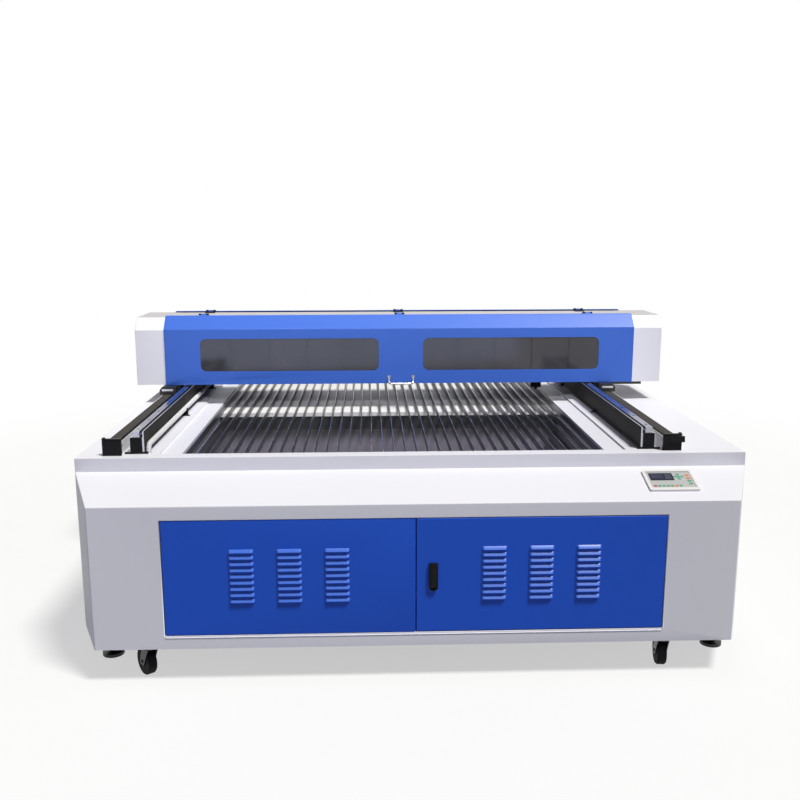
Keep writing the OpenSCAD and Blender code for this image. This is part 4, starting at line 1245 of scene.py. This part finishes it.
class CUTTER_OT_stage(bpy.types.Operator):
    """Lay the pale floor and set the lamps and the camera"""

    bl_idname = "cutter.stage"
    bl_label = "Stage"

    def execute(self, context):
        scene = context.scene
        scene.view_settings.view_transform = "Standard"
        self.floor()
        self.world(scene)
        self.sky()
        area_light(
            "front",
            place=(-0.8, -5.0, 0.5),
            target=(0, -1.9, 0.6),
            size=(4.4, 0.5),
            power=10,
            colour=(0.47, 0.58, 1),
        )
        area_light(
            "high",
            place=(0, -3.6, 2.6),
            target=(0, -0.74, 1.15),
            size=(2.6, 0.4),
            power=4,
            colour=(0.95, 0.96, 1),
            spread=30,
        )
        self.camera(scene)
        return {"FINISHED"}

    def camera(self, scene):
        camera = bpy.data.cameras.new("camera")
        camera.lens = LENS
        camera.sensor_width = SENSOR
        eye = bpy.data.objects.new("camera", camera)
        turn = (
            Matrix.Rotation(math.radians(-YAW), 4, "Z")
            @ Matrix.Rotation(math.radians(90 - PITCH), 4, "X")
            @ Matrix.Rotation(math.radians(ROLL), 4, "Z")
        )
        eye.matrix_world = Matrix.Translation(DATUM + EYE) @ turn
        scene.collection.objects.link(eye)
        scene.camera = eye

    def sky(self):
        """A broad soft light from overhead."""
        light = bpy.data.lights.new("overhead", "SUN")
        light.energy = SUN_POWER
        light.angle = SUN_WIDTH
        light.color = SUN_COLOUR
        link_lamp("overhead", light, Vector(SUN_FROM).to_track_quat("Z", "Y"))

    def floor(self):
        """A plain floor that a camera sees paler than it is for the light."""
        bm = bmesh.new()
        bmesh.ops.create_grid(bm, x_segments=1, y_segments=1, size=FLOOR_HALF)
        ground = finished(bm, "floor")
        m = Finish("pale_floor", Roughness=0.9)
        grain = m.noise(3, 3)
        pale = m.mix(grain, (0.80, 0.80, 0.82), (0.83, 0.83, 0.85))
        m.set("Base Color", m.mix(m.seen(), (0.20, 0.20, 0.21), pale))
        reach = (m.x * m.x + m.y * m.y) ** 0.5
        glow = m.node("ShaderNodeEmission", None, {"Color": WHITE})
        share = NEAR_GLOW + MORE_GLOW * reach.step(NEAR, FAR)
        mixed = m.node(
            "ShaderNodeMixShader",
            None,
            {0: share * m.seen(), 1: m.shader.outputs[0], 2: glow},
        )
        m.feed(m.tree.nodes["Material Output"].inputs[0], mixed)
        ground.data.materials.append(m.material)

    def world(self, scene):
        """Faint bluish light all round, in front of a white background."""
        world = bpy.data.worlds.new("studio")
        world.use_nodes = True
        scene.world = world
        s = Sheet(world.node_tree)
        light = world.node_tree.nodes["Background"]
        light.inputs[0].default_value = AIR_COLOUR
        light.inputs[1].default_value = AIR_POWER
        pale = s.node("ShaderNodeBackground", None, {0: WHITE, 1: 1.0})
        mixed = s.node(
            "ShaderNodeMixShader",
            None,
            {0: s.seen(), 1: light.outputs[0], 2: pale},
        )
        s.feed(world.node_tree.nodes["World Output"].inputs[0], mixed)


PIECES = (
    CUTTER_OT_cabinet,
    CUTTER_OT_bed,
    CUTTER_OT_doors,
    CUTTER_OT_rails,
    CUTTER_OT_conduit,
    CUTTER_OT_bridge,
    CUTTER_OT_laser,
    CUTTER_OT_keypad,
    CUTTER_OT_feet,
    CUTTER_OT_electrics,
    CUTTER_OT_stage,
)


class CUTTER_PT_panel(bpy.types.Panel):
    """Lists the machine's pieces, sizes and colours"""

    bl_label = "Laser Cutter"
    bl_idname = "CUTTER_PT_panel"
    bl_space_type = "VIEW_3D"
    bl_region_type = "UI"
    bl_category = "Laser Cutter"

    def draw(self, context):
        for group in (context.scene.cutter_sizes, context.scene.cutter_colours):
            for name in group.bl_rna.properties.keys()[2:]:
                self.layout.prop(group, name)
        for piece in PIECES:
            self.layout.operator(piece.bl_idname)


CLASSES = (CutterColours, CutterSizes, *PIECES, CUTTER_PT_panel)


def register():
    for cls in CLASSES:
        bpy.utils.register_class(cls)
    bpy.types.Scene.cutter_colours = bpy.props.PointerProperty(type=CutterColours)
    bpy.types.Scene.cutter_sizes = bpy.props.PointerProperty(type=CutterSizes)


def unregister():
    del bpy.types.Scene.cutter_sizes
    del bpy.types.Scene.cutter_colours
    for cls in reversed(CLASSES):
        bpy.utils.unregister_class(cls)


def main():
    register()
    FINISHES.update(make_finishes(bpy.context.scene.cutter_colours))
    PATTERNS.update(
        screw=cap_screw_pattern(), louvre=louvre_pattern(), conduit=conduit_pattern()
    )
    for piece in PIECES:
        group, name = piece.bl_idname.split(".")
        getattr(getattr(bpy.ops, group), name)()


if __name__ == "__main__":
    main()
